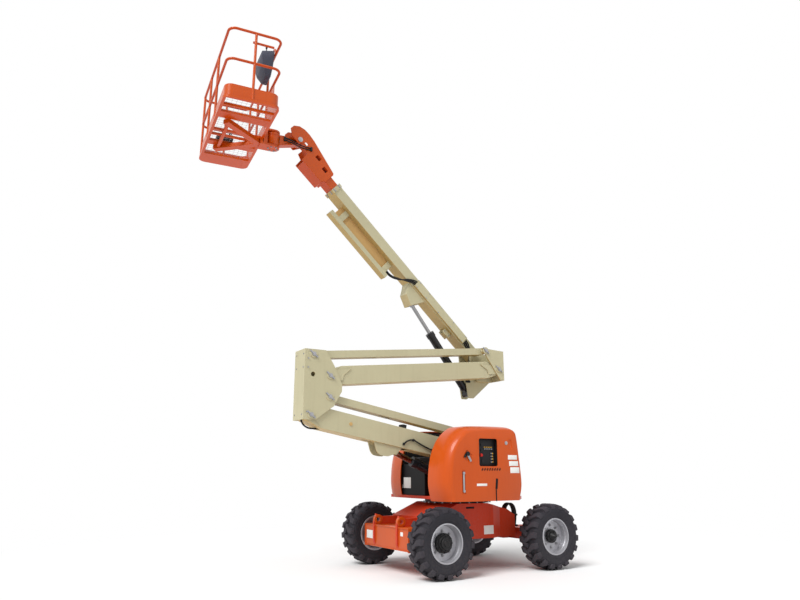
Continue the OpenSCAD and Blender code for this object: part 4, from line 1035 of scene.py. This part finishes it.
def bolt_heads(*groups):
    """Hexagon heads on washers. A group is the spots, the way the heads point, their radius and height."""
    forms = []
    for spots, axis, radius, height in groups:
        out = Vector(axis).normalized()
        for spot in spots:
            forms.append((disc, Vector(spot) + out * height * 0.15, axis, radius * 1.5, height * 0.3, 18))
            forms.append((disc, Vector(spot) + out * height * 0.6, axis, radius, height * 0.9, 6))
    return mesh_of(*forms)


print("boom heading:", [round(x, 3) for x in boom_along])

# %% [markdown]
# Boom fittings
#
# Wear pads at the mouth are held by four bolts on each of three faces, and the hose cover by screws along its
# edges. The hoses leave the tray's lower end, pass beside the lift clevis and run inside the cover, so they are
# drawn as pipes on smooth curves that the boom holds all the way. A web in a darker cream closes the gap above
# the tray; that darker cream is painted shade, for the shadow in the gap.

# %% Boom fittings
BOOM_HALF_W = 0.105
BOOM_HALF_H = 0.078
COLLAR = 0.012
MOUTH = 3.47
COVER_FACE = -0.143
COVER_HOSE = -0.124
HOSE_R = 0.0095
HANGER = 0.72

mouth = [MOUTH - back for back in (0.016, 0.044)]
dress("boom_bolts", bolt_heads(
    ([on_boom(a, -BOOM_HALF_W - COLLAR, b) for a in mouth for b in (-0.05, 0.05)], (0, -1, 0), 0.009, 0.010),
    ([on_boom(a, BOOM_HALF_W + COLLAR, b) for a in mouth for b in (-0.05, 0.05)], ACROSS, 0.009, 0.010),
    ([on_boom(a, b, -BOOM_HALF_H - COLLAR) for a in mouth for b in (-0.06, 0.06)], -boom_up, 0.009, 0.010),
    ([on_boom(a, COVER_FACE, b) for a in (0.49, 0.78, 1.07, 1.36, 1.58) for b in (-0.048, 0.048)], (0, -1, 0),
     0.006, 0.006)), "bare_steel", "main_boom")

boom_hoses = [pipe([
    on_boom(2.10, shift, -0.195), on_boom(1.97, shift - 0.01, -0.198), on_boom(1.85, shift - 0.075, -0.165),
    on_boom(1.75, COVER_HOSE, -0.09 + shift), on_boom(1.64, COVER_HOSE, -0.012 + shift * 1.4),
    on_boom(1.50, COVER_HOSE, shift * 1.6)], HOSE_R) for shift in (-0.020, 0.0, 0.020)]
dress("boom_hoses", joined(*boom_hoses), "black_plastic", "main_boom")

dress("boom_hose_hanger", mesh_of(
    *((block, on_boom(HANGER, across, -BOOM_HALF_H - 0.035), (0.15, 0.010, 0.075), 0.003, BOOM_TURN)
      for across in (-0.045, 0.045)),
    (block, on_boom(HANGER, 0, -BOOM_HALF_H - 0.070), (0.10, 0.10, 0.010), 0.003, BOOM_TURN),
), "cream_paint", "main_boom")
hanger_spots = [on_boom(HANGER + a, -0.050, -BOOM_HALF_H - 0.035) for a in (-0.05, 0.05)]
dress("hanger_bolts", bolt_heads((hanger_spots, (0, -1, 0), 0.007, 0.008)), "bare_steel", "main_boom")
# The web is a sheet in painted shade: darker cream where the gap under the boom lies in shadow
tray_web = mesh_of((block, on_boom(2.64, 0, -0.158), (1.10, 0.012, 0.164), 0.003, BOOM_TURN))
dress("tray_web", tray_web, "cream_painted_shade", "main_boom")
print("boom hoses:", len(boom_hoses))

# %% [markdown]
# Hoses across the boom's pivot
#
# At the pivot the hoses leave the cover and turn down to the lift cylinder's ear, where a block takes their
# ends. They are drawn in place and ride on no body.

# %% Pivot hoses
EAR_HOSE = -0.107
EAR_FACE = 0.055
EAR_HOSE_Y = EAR_FACE - 0.0085
CLIP_BEVEL = 0.004
# Each hose: shift inside the cover, how far along the boom it leaves, place of its end beside the ear's pin
PIVOT_HOSES = [(-0.030, 0.00, -0.044), (0.0, 0.03, -0.064), (0.030, 0.06, -0.084)]
lift_base = joint_point("lift_cylinder_turn")


def at_ear(aside, up):
    return Vector((lift_base.x + aside, EAR_HOSE_Y, lift_base.y + up))


def bent_hose(name, path, radius):
    """A hose drawn along its path across a joint. It rides on no body."""
    hose = dress(name, pipe(path, radius), "black_plastic")
    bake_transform(hose)


def hose_block(name, body, spot, size):
    """A block that takes the ends of hoses."""
    dress(name, mesh_of((block, spot, size, CLIP_BEVEL)), "black_plastic", body)


for index, (shift, reach, aside) in enumerate(PIVOT_HOSES):
    bent_hose("pivot_hose_%d" % (index + 1), [
        on_boom(0.62, COVER_HOSE, shift), on_boom(0.46, COVER_HOSE, shift),
        on_boom(0.33, COVER_HOSE + 0.006, shift - 0.03), on_boom(0.20 + reach, COVER_HOSE + 0.010, -0.10 + shift),
        on_boom(0.10 + reach, COVER_HOSE + 0.012, -0.20), on_boom(0.05 + reach, EAR_HOSE, -0.29),
        at_ear(aside, 0.250), at_ear(aside + 0.003, 0.165)], HOSE_R)
hose_block("ear_hose_clip", "boom_upright", at_ear(-0.061, 0.170), (0.076, 0.026, 0.030))
print("pivot hoses:", len(PIVOT_HOSES))

# %% [markdown]
# Hydraulic cylinders
#
# A lift cylinder shows a gland collar, a welded port at each end and a hard line between the ports. The same
# function dresses both cylinders, given the pin at the base and the direction of the rod.

# %% Cylinder fittings
# Barrels: radius, length, turn of the ports
LIFT_BARREL = (0.058, 0.78, math.radians(60))
TOWER_BARREL = (0.062, 0.86, math.radians(20))
LINE_R = 0.007
TOWER_Y = (knee_low.y + knee_high.y) / 2


def cylinder_fittings(base, along, y, radius, length, side):
    """Ports, a hard line and a gland collar on a barrel. side is the turn of the ports about the barrel."""
    start = Vector((base.x, y, base.y))
    out = (Vector((0, -1, 0)) * math.cos(side) + along.cross(Vector(ACROSS)) * math.sin(side)).normalized()
    low_port, high_port = ports = [start + along * length * share for share in (0.16, 0.93)]
    forms = []
    for port in ports:
        forms.append((disc, port + out * (radius + 0.010), out, 0.020, 0.030, 20))
        forms.append((disc, port + out * (radius + 0.028), out, 0.014, 0.012, 6))
    for share in (0.955, 0.985):
        forms.append((disc, start + along * length * share, along, radius + 0.008, length * 0.012, 36))
    line = pipe([
        low_port + out * (radius + 0.028), low_port + out * (radius + 0.046) + along * 0.05,
        (low_port + high_port) / 2 + out * (radius + 0.024), high_port + out * (radius + 0.046) - along * 0.05,
        high_port + out * (radius + 0.028)], LINE_R, "cylinder_black")
    return joined(mesh_of(*forms), line)


tower_base = joint_point("tower_cylinder_turn")
lift_way, tower_way = joint_axis("lift_rod_slide"), joint_axis("tower_rod_slide")
lift_parts = cylinder_fittings(lift_base, lift_way, BOOM_Y, *LIFT_BARREL)
dress("lift_cylinder_ports", lift_parts, "cylinder_black", "lift_cylinder")
tower_parts = cylinder_fittings(tower_base, tower_way, TOWER_Y, *TOWER_BARREL)
dress("tower_cylinder_ports", tower_parts, "cylinder_black", "tower_cylinder")
print("cylinders dressed: 2")

# %% [markdown]
# Tower arms
#
# The upper arm is a folded box section with doubler plates welded on at both ends, where the pins pull. They
# are thin plates cut on a slant, and a weld bead runs along their edge. A bead is just a thin pipe.

# %% Doublers and welds
ARM_HALF_W = 0.125
ARM_TURN = lean(math.radians(10))
DOUBLER = 0.006
BEAD_R = 0.0045
# A doubler's outline, along the arm from its pin and up from its middle line
UPPER_DOUBLER = [(0.02, 0.07), (0.32, 0.085), (0.20, 0.0), (0.18, -0.07), (0.02, -0.07)]


def arm_frame(start, end):
    """The arm's own directions in the side view: along it from its first pin, and up from its middle line."""
    along = (end - start).normalized()
    up = Vector((-along.y, along.x)) if along.x > 0 else Vector((along.y, -along.x))
    return along, up


def arm_doublers(start, end, outline):
    """A doubler on each side of each end, with a bead along its edge."""
    along, up = arm_frame(start, end)
    plates, beads = [], []
    for pin, way in ((start, along), (end, -along)):
        spots = [pin + way * a + up * b for a, b in outline]
        for side in (-1, 1):
            plates.append((plate, spots, TOWER_Y + side * (ARM_HALF_W + DOUBLER / 2), DOUBLER))
            edge = [Vector((p.x, TOWER_Y + side * (ARM_HALF_W + DOUBLER * 0.6), p.y)) for p in spots[1:-1]]
            for first, second in zip(edge, edge[1:]):
                beads.append(pipe([first, (first + second) / 2, second], BEAD_R, "cream_paint", 8))
    return joined(mesh_of(*plates), *beads)


lower_along, lower_up = arm_frame(knee_pin, base_pin)


def on_lower_arm(along, up, y):
    spot = knee_pin + lower_along * along + lower_up * up
    return Vector((spot.x, y, spot.y))


dress("upper_arm_doublers", arm_doublers(upper_pin, head_pin, UPPER_DOUBLER), "cream_paint", "upper_arm")
plug_sides = [TOWER_Y + side * (ARM_HALF_W + 0.001) for side in (-1, 1)]
arm_plugs = mesh_of(*((disc, on_lower_arm(0.58, 0.01, y), ACROSS, 0.022, 0.006) for y in plug_sides))
# The plugs take the darker painted-shade cream, for the shade in their dimples
dress("arm_plugs", arm_plugs, "cream_painted_shade", "lower_arm")
rest_pad = mesh_of((block, on_lower_arm(1.42, 0.148, TOWER_Y), (0.060, 0.12, 0.085), 0.008, ARM_TURN))
dress("link_rest_pad", rest_pad, "black_plastic", "lower_arm")
knee_studs = [(knee_low.x + 0.045, knee_low.y, z) for z in (1.99, 2.545, 2.66)]
knee_front = [(knee_low.x, TOWER_Y + a, z) for a in (-0.11, 0.11) for z in (1.96, 2.55, 2.72)]
knee_bolts = bolt_heads((knee_studs, (0, -1, 0), 0.007, 0.007), (knee_front, (-1, 0, 0), 0.007, 0.007))
dress("knee_bolts", knee_bolts, "bare_steel", "knee_upright")
print("knee bolts:", len(knee_studs) + len(knee_front))

# %% [markdown]
# Chassis
#
# The rear beam is boxed in by flanges and end plates, and each tie-down lug has a round boss about its bore. The
# slewing ring is bolted down all round, hoses for the steering leave the deck and run down the nose, and the
# side carries a slot and plates that are left blank.

# %% Chassis pieces
BEAM_HALF_L = 0.555
FLANGE = 0.014
LUG_BORE = (-1.115, 0.643)
LUG_Y = 0.3
BOSS = [(0.030, -0.024), (0.058, -0.024), (0.064, -0.018), (0.064, 0.018), (0.058, 0.024), (0.030, 0.024)]
BOSS_SEGMENTS = 40
CHASSIS_SIDE = -0.5
NOSE_HOSE = [
    (0.555, 0.745), (0.580, 0.800), (0.632, 0.832), (0.690, 0.820), (0.728, 0.770), (0.740, 0.660), (0.722, 0.530),
]
NOSE_HOSE_R = 0.012
SLEW_BOLTS = 24


def stood(mesh, x, y, z):
    """A mesh made about the Y axis, stood upright and moved to its place."""
    mesh.transform(Matrix.Translation((x, y, z)) @ Matrix.Rotation(math.pi / 2, 4, "X"))
    return mesh


beam_low, beam_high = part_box("rear_axle")
beam_z = (beam_low.z + beam_high.z) / 2
flanges = [(block, (beam_low.x + 0.168, 0, z + FLANGE / 2), (0.36, 2 * BEAM_HALF_L + 0.02, FLANGE), 0.003)
           for z in (beam_low.z, beam_high.z)]
ends = [(block, (beam_low.x + 0.19, side * (BEAM_HALF_L + FLANGE / 2), beam_z), (0.40, FLANGE, 0.285), 0.004)
        for side in (-1, 1)]
# The flanges and lug bosses take orange as painted light, like the beam that faces the lamp
dress("beam_flanges", mesh_of(*flanges, *ends), "orange_paint", "chassis", slot="deep_red_paint")
bosses = [moved(mesh_of((closed_lathe, BOSS, BOSS_SEGMENTS)), (LUG_BORE[0], y, LUG_BORE[1]))
          for y in (-LUG_Y, LUG_Y)]
dress("lug_bosses", joined(*bosses), "orange_paint", "chassis")
dress("chassis_blank_plates", mesh_of(
    (block, (beam_low.x - 0.001, 0.42, 0.445), (0.004, 0.20, 0.105), 0.001),
    (block, (beam_low.x - 0.001, -0.40, 0.500), (0.004, 0.060, 0.048), 0.001),
    (block, (0.165, CHASSIS_SIDE - 0.001, 0.507), (0.165, 0.004, 0.112), 0.001)), "blank_white", "chassis")
side_slot = mesh_of((block, (-0.143, CHASSIS_SIDE - 0.001, 0.800), (0.135, 0.004, 0.024), 0.0015))
dress("chassis_slot", side_slot, "shadow_black", "chassis")

nose_hoses = [pipe([(x, y, z) for x, z in NOSE_HOSE], NOSE_HOSE_R) for y in (-0.395, -0.360, -0.325)]
nose_clips = mesh_of(*((block, (0.728, -0.360, z), (0.060, 0.115, 0.026), 0.004) for z in (0.680, 0.536)))
dress("nose_hoses", joined(*nose_hoses, nose_clips), "black_plastic", "chassis")

ring_low, ring_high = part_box("slew_ring")
bolt = bolt_heads(([(ring_high.x + 0.022, 0, 0)], ACROSS, 0.010, 0.014))
slew_bolts = stood(grow(RING, bolt, "bare_steel", Count=SLEW_BOLTS), 0, 0, ring_low.z)
dress("slew_bolts", slew_bolts, "bare_steel", "chassis")
print("chassis pieces ready, bolts:", SLEW_BOLTS)

# %% [markdown]
# Behind the hoods
#
# Between the hoods the eye should meet a dark recess. A liner in shadow black, painted shade for that recess,
# closes the far hood's inner side, the tank carries a blank plate, and a hose runs up the lower arm from the
# tower cylinder's lugs, held by clips.

# %% Recess and arm hose
LINER_Y = 0.590
LINER_FOOT = 0.95
LINER_INSET = 0.03
LUG_SKIRT = [
    (-1.50, 1.70), (-1.452, 1.545), (-1.430, 1.508), (-1.398, 1.484), (-1.340, 1.472), (-1.278, 1.467),
    (-1.200, 1.488), (-1.124, 1.519), (-1.060, 1.580), (-0.985, 1.660),
]
LUG_SKIRT_OUT = 0.085
HOSE_Y = TOWER_Y - ARM_HALF_W - 0.011
ARM_HOSE_R = 0.010
# Along the lower arm from the knee's pin, and up from its middle line
ARM_HOSE = [(1.40, -0.085), (1.45, -0.030), (1.54, 0.000), (1.64, -0.025), (1.86, -0.070), (2.10, -0.080)]
ARM_CLIPS = [(1.40, -0.080), (1.54, 0.0), (1.86, -0.070), (2.10, -0.080)]

far_length = far_high.x - far_low.x
liner_h = far_high.z - LINER_FOOT - LINER_INSET
liner = [(far_low.x + LINER_INSET + s * 0.9 * far_length, LINER_FOOT + t * liner_h) for s, t in HOOD_SHARES]
dress("recess_liner", mesh_of((plate, liner, LINER_Y, 0.006)), "shadow_black", "turntable")
tank_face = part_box("hydraulic_tank")[0].x
tank_plate = mesh_of((block, (tank_face - 0.001, 0.505, 1.115), (0.004, 0.225, 0.150), 0.001))
dress("tank_blank_plate", tank_plate, "blank_white", "turntable")
skirts = mesh_of(*((plate, LUG_SKIRT, TOWER_Y + side * LUG_SKIRT_OUT, 0.020) for side in (-1, 1)))
dress("lower_arm_lugs", skirts, "cream_paint", "lower_arm")
arm_line = pipe([on_lower_arm(a, b, HOSE_Y) for a, b in ARM_HOSE], ARM_HOSE_R)
clips = mesh_of(*((block, on_lower_arm(a, b, HOSE_Y), (0.026, 0.024, 0.034), 0.004, ARM_TURN) for a, b in ARM_CLIPS))
dress("arm_hose", joined(arm_line, clips), "black_plastic", "lower_arm")
print("recess ready, clips:", len(ARM_CLIPS))

# %% [markdown]
# Boom head
#
# At the fly section's end two hoses pass from the head to the levelling bracket. They are short and end in a block
# on each side. The tip pin gets its end discs here, and the lift rod is drawn in place of its solid, slimmer and
# polished.

# %% Boom head
tip_pin = joint_point("platform_level")
fly_low, fly_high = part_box("fly_boom")
bracket_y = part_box("level_bracket")[0].y
HEAD_HOSE_Y = fly_low.y - 0.010
BRACKET_HOSE_Y = bracket_y - 0.010
HEAD_HOSE_R = 0.0085
CLIP_SIZE = (0.026, 0.026, 0.066)
ROD_R = 0.027
ROD_START, ROD_EYE = 0.50, 1.6756


def at_tip(dx, y, dz):
    return Vector((tip_pin.x + dx, y, tip_pin.y + dz))


for index, lift in enumerate((0.0, 0.030)):
    bent_hose("head_hose_%d" % (index + 1), [
        at_tip(0.175, HEAD_HOSE_Y, -0.125 + lift), at_tip(0.070, HEAD_HOSE_Y - 0.004, -0.130 + lift),
        at_tip(-0.040, HEAD_HOSE_Y + 0.004, -0.112 + lift), at_tip(-0.125, BRACKET_HOSE_Y - 0.020, -0.062 + lift),
        at_tip(-0.215, BRACKET_HOSE_Y, -0.035 + lift)], HEAD_HOSE_R)
hose_block("head_hose_clip", "fly_boom", at_tip(0.170, fly_low.y - 0.009, -0.110), CLIP_SIZE)
hose_block("bracket_hose_clip", "level_bracket", at_tip(-0.210, bracket_y - 0.009, -0.021), CLIP_SIZE)

tip_ends = []
for y, out in ((fly_low.y, -1), (fly_high.y, 1)):
    tip_ends.append((disc, at_tip(0, y + out * 0.005, 0), ACROSS, 0.036, 0.012, 32))
    tip_ends.append((disc, at_tip(0, y + out * 0.012, 0), ACROSS, 0.020, 0.010, 6))
dress("tip_pin_ends", mesh_of(*tip_ends), "bare_steel", "fly_boom")

eye_low, eye_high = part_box("lift_rod")
rod_base = Vector((lift_base.x, BOOM_Y, lift_base.y))
dress("lift_rod_polished", mesh_of(
    (disc, rod_base + lift_way * (ROD_START + ROD_EYE) / 2, lift_way, ROD_R, ROD_EYE - ROD_START, 40),
    (disc, rod_base + lift_way * (ROD_EYE - 0.055), lift_way, ROD_R + 0.012, 0.060, 40),
    (disc, rod_base + lift_way * ROD_EYE, ACROSS, 0.050, eye_high.y - eye_low.y, 40),
), "rod_chrome", "lift_rod", ["lift_rod"])
print("boom head ready, rod radius:", ROD_R)

# %% [markdown]
# Work platform
#
# The platform turns on its rotator, so its pieces are drawn in its own frame, with the rotator's axis at the
# origin, and moved into place together. The floor is a wire mesh set among its cross bars.

# %% Platform frame and floor
gate_way = joint_axis("gate_lift")
turn_x, turn_y, _ = joint("platform_rotate")["pos_m"]
PLATFORM_PLACE = Matrix.Translation((turn_x, turn_y, 0)) @ Matrix.Rotation(
    math.atan2(-gate_way.x, gate_way.y), 4, "Z")
floor_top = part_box("platform_floor")[1].z
DECK_MID, DECK_HALF_W, DECK_HALF_L = -0.51, 0.355, 0.975
WIRE_R = 0.0015
WIRE_STEP = 0.060
WIRE_INSET = 0.036
FIRST_WIRE = WIRE_INSET + WIRE_STEP / 2


def on_platform(name, mesh, finish, replaces=()):
    mesh.transform(PLATFORM_PLACE)
    dress(name, mesh, finish, "platform", replaces)


def wire(x, y, drop, axis, length):
    return mesh_of((disc, (x, y, floor_top - drop), axis, WIRE_R, length, 6))


cross_count = int(2 * (DECK_HALF_L - WIRE_INSET) / WIRE_STEP)
long_count = int(2 * (DECK_HALF_W - WIRE_INSET) / WIRE_STEP)
cross_wire = wire(DECK_MID, -DECK_HALF_L + FIRST_WIRE, 0.008, (1, 0, 0), 2 * DECK_HALF_W - WIRE_INSET)
long_wire = wire(DECK_MID - DECK_HALF_W + FIRST_WIRE, 0, 0.012, ACROSS, 2 * DECK_HALF_L - WIRE_INSET)
on_platform("floor_wires", joined(
    grow(ROW, cross_wire, "rim_silver", Count=cross_count, Step=(0, WIRE_STEP, 0)),
    grow(ROW, long_wire, "rim_silver", Count=long_count, Step=(WIRE_STEP, 0, 0))), "rim_silver")
print("wires:", cross_count + long_count)

# %% [markdown]
# Platform support
#
# The rotator is a drum with a rim at each end, turned on the lathe and stood upright. A cross bar runs under
# the floor, and a ring of bolts stands on the support's underside and another on its top.

# %% Platform support
DRUM_RIM = 0.008
DRUM_SEGMENTS = 56
BOLT_CIRCLE = 0.064
support_low, support_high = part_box("platform_support")
drum_low, drum_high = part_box("rotator")
drum_h = drum_high.z - drum_low.z
drum_r = (drum_high.x - drum_low.x) / 2
half_drum = [(0, 0), (drum_r - 0.012, 0), (drum_r, 0.012), (drum_r, 0.040), (drum_r - DRUM_RIM, 0.048)]
drum = mesh_of((lathe, half_drum + [(r, drum_h - along) for r, along in half_drum[::-1]], DRUM_SEGMENTS))
dress("rotator_housing", stood(drum, turn_x, turn_y, drum_low.z), "orange_paint", "level_bracket", ["rotator"])

cross_bar = mesh_of((block, (-0.690, 0, support_low.z + 0.042), (0.044, 0.82, 0.040), 0.006))
on_platform("support_cross_bar", cross_bar, "orange_paint")
turns = [k * math.pi / 3 for k in range(6)]
spots = [(BOLT_CIRCLE * math.cos(turn), BOLT_CIRCLE * math.sin(turn)) for turn in turns]
on_platform("support_bolts", bolt_heads(
    ([(x, y, support_low.z) for x, y in spots], (0, 0, -1), 0.010, 0.012),
    ([(x, y, support_high.z) for x, y in spots], (0, 0, 1), 0.010, 0.012)), "bare_steel")
print("support ready, bolts:", 2 * len(spots))

# %% [markdown]
# Console and foot switch
#
# The console is a moulded cowl with two levers, a row of switches and a stop button, its top sloping towards the
# operator. The foot switch is a pedal under a guard.

# %% Console and foot switch
# Rings of the cowl from its foot up: height below the top, then the inner, outer, near and far sides
COWL = [
    (0.350, -0.275, -0.205, -0.545, -0.315), (0.230, -0.335, -0.196, -0.610, -0.250),
    (0.110, -0.360, -0.192, -0.640, -0.220), (0.045, -0.362, -0.192, -0.640, -0.220),
]
COWL_BEVEL = 0.012
CONSOLE_SLOPE = 0.045
GUARD_R = 0.008
UPWARDS = (0, 0, 1)
console_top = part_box("control_console")[1].z

cowl = bmesh.new()
rings = []
for drop, inner, outer, near, far in COWL:
    z = console_top - drop
    corners = ((inner, near, z), (outer, near, z), (outer, far, z), (inner, far, z))
    rings.append([cowl.verts.new(corner) for corner in corners])
for corner in rings[-1][1:3]:
    corner.co.z += CONSOLE_SLOPE
for first, second in zip(rings, rings[1:]):
    for i in range(4):
        cowl.faces.new((first[i], first[(i + 1) % 4], second[(i + 1) % 4], second[i]))
cowl.faces.new(rings[0])
cowl.faces.new(rings[-1])
bmesh.ops.recalc_face_normals(cowl, faces=cowl.faces)
bmesh.ops.bevel(cowl, geom=cowl.edges[:], offset=COWL_BEVEL, segments=2, affect="EDGES", profile=0.5)
on_platform("console_cowl", finish_mesh(cowl), "grey_plastic", ["control_console"])

levers = []
for y in (-0.555, -0.305):
    levers += [
        (disc, (-0.285, y, console_top - 0.012), UPWARDS, 0.032, 0.036, 24, 0.014),
        (disc, (-0.285, y, console_top + 0.030), UPWARDS, 0.007, 0.070, 12),
        (disc, (-0.285, y, console_top + 0.066), UPWARDS, 0.012, 0.030, 16, 0.015)]
for step in range(5):
    levers.append((disc, (-0.235, -0.490 + 0.030 * step, console_top), UPWARDS, 0.007, 0.034, 10, 0.004))
on_platform("console_levers", mesh_of(*levers), "black_plastic")
stop = mesh_of((disc, (-0.315, -0.430, console_top - 0.014), UPWARDS, 0.020, 0.034, 28, 0.023))
on_platform("console_stop", stop, "signal_red")

switch_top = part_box("foot_switch")[1].z
pedal = mesh_of((block, (-0.630, 0.312, switch_top + 0.010), (0.130, 0.120, 0.012), 0.004, lean(-0.10)))
guard = pipe([(-0.545, y, switch_top + up) for y, up in (
    (0.205, -0.02), (0.210, 0.05), (0.312, 0.085), (0.414, 0.05), (0.419, -0.02))], GUARD_R)
on_platform("foot_pedal", joined(pedal, guard), "black_plastic")
print("platform ready, console top:", round(console_top, 3))

# %% [markdown]
# The sides the photograph hides
#
# The far hood gets the same latch as the near one, mirrored, and a plain round knob. The counterweight's outer
# face has four lifting bolts and a blank plate. These follow the usual practice on such machines, since the
# photograph does not show that side. One more hose crosses the knee, from a block in the upright into the
# lower arm.

# %% Far side and knee hose
FAR_FACE = far_high.y
LATCH_X = far_low.x + 0.28
KNEE_HOSE = [(-2.500, 1.950), (-2.478, 1.872), (-2.410, 1.812), (-2.310, 1.798), (-2.200, 1.800)]
KNEE_HOSE_R = 0.011

dress("far_hood_latch", mesh_of(
    (block, (LATCH_X, FAR_FACE + 0.001, LATCH[1]), (0.026, 0.010, 0.235), 0.004),
    *((disc, (LATCH_X, FAR_FACE + 0.004, LATCH[1] + dz), ACROSS, 0.017, 0.012, 20) for dz in (-0.11, 0.11)),
    (disc, (LATCH_X + 0.07, FAR_FACE + 0.006, KNOB[1]), ACROSS, 0.024, 0.016),
), "bare_steel", "far_hood")

weight_low, weight_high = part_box("counterweight")
weight_z = (weight_low.z + weight_high.z) / 2
weight_spots = [(weight_high.x, y, weight_z + z) for y in (-0.22, 0.22) for z in (-0.15, 0.15)]
dress("weight_bolts", bolt_heads((weight_spots, (1, 0, 0), 0.018, 0.016)), "bare_steel", "turntable")
weight_plate = mesh_of((block, (weight_high.x + 0.001, 0, weight_z), (0.004, 0.24, 0.12), 0.001))
dress("weight_blank_plate", weight_plate, "blank_white", "turntable")

knee_path = [Vector((x, TOWER_Y, z)) for x, z in KNEE_HOSE]
bent_hose("knee_hose", knee_path, KNEE_HOSE_R)
hose_block("knee_hose_clip", "knee_upright", knee_path[0] + Vector((-0.007, 0, -0.008)), (0.032, 0.050, 0.026))
print("far side ready, bolts:", len(weight_spots))
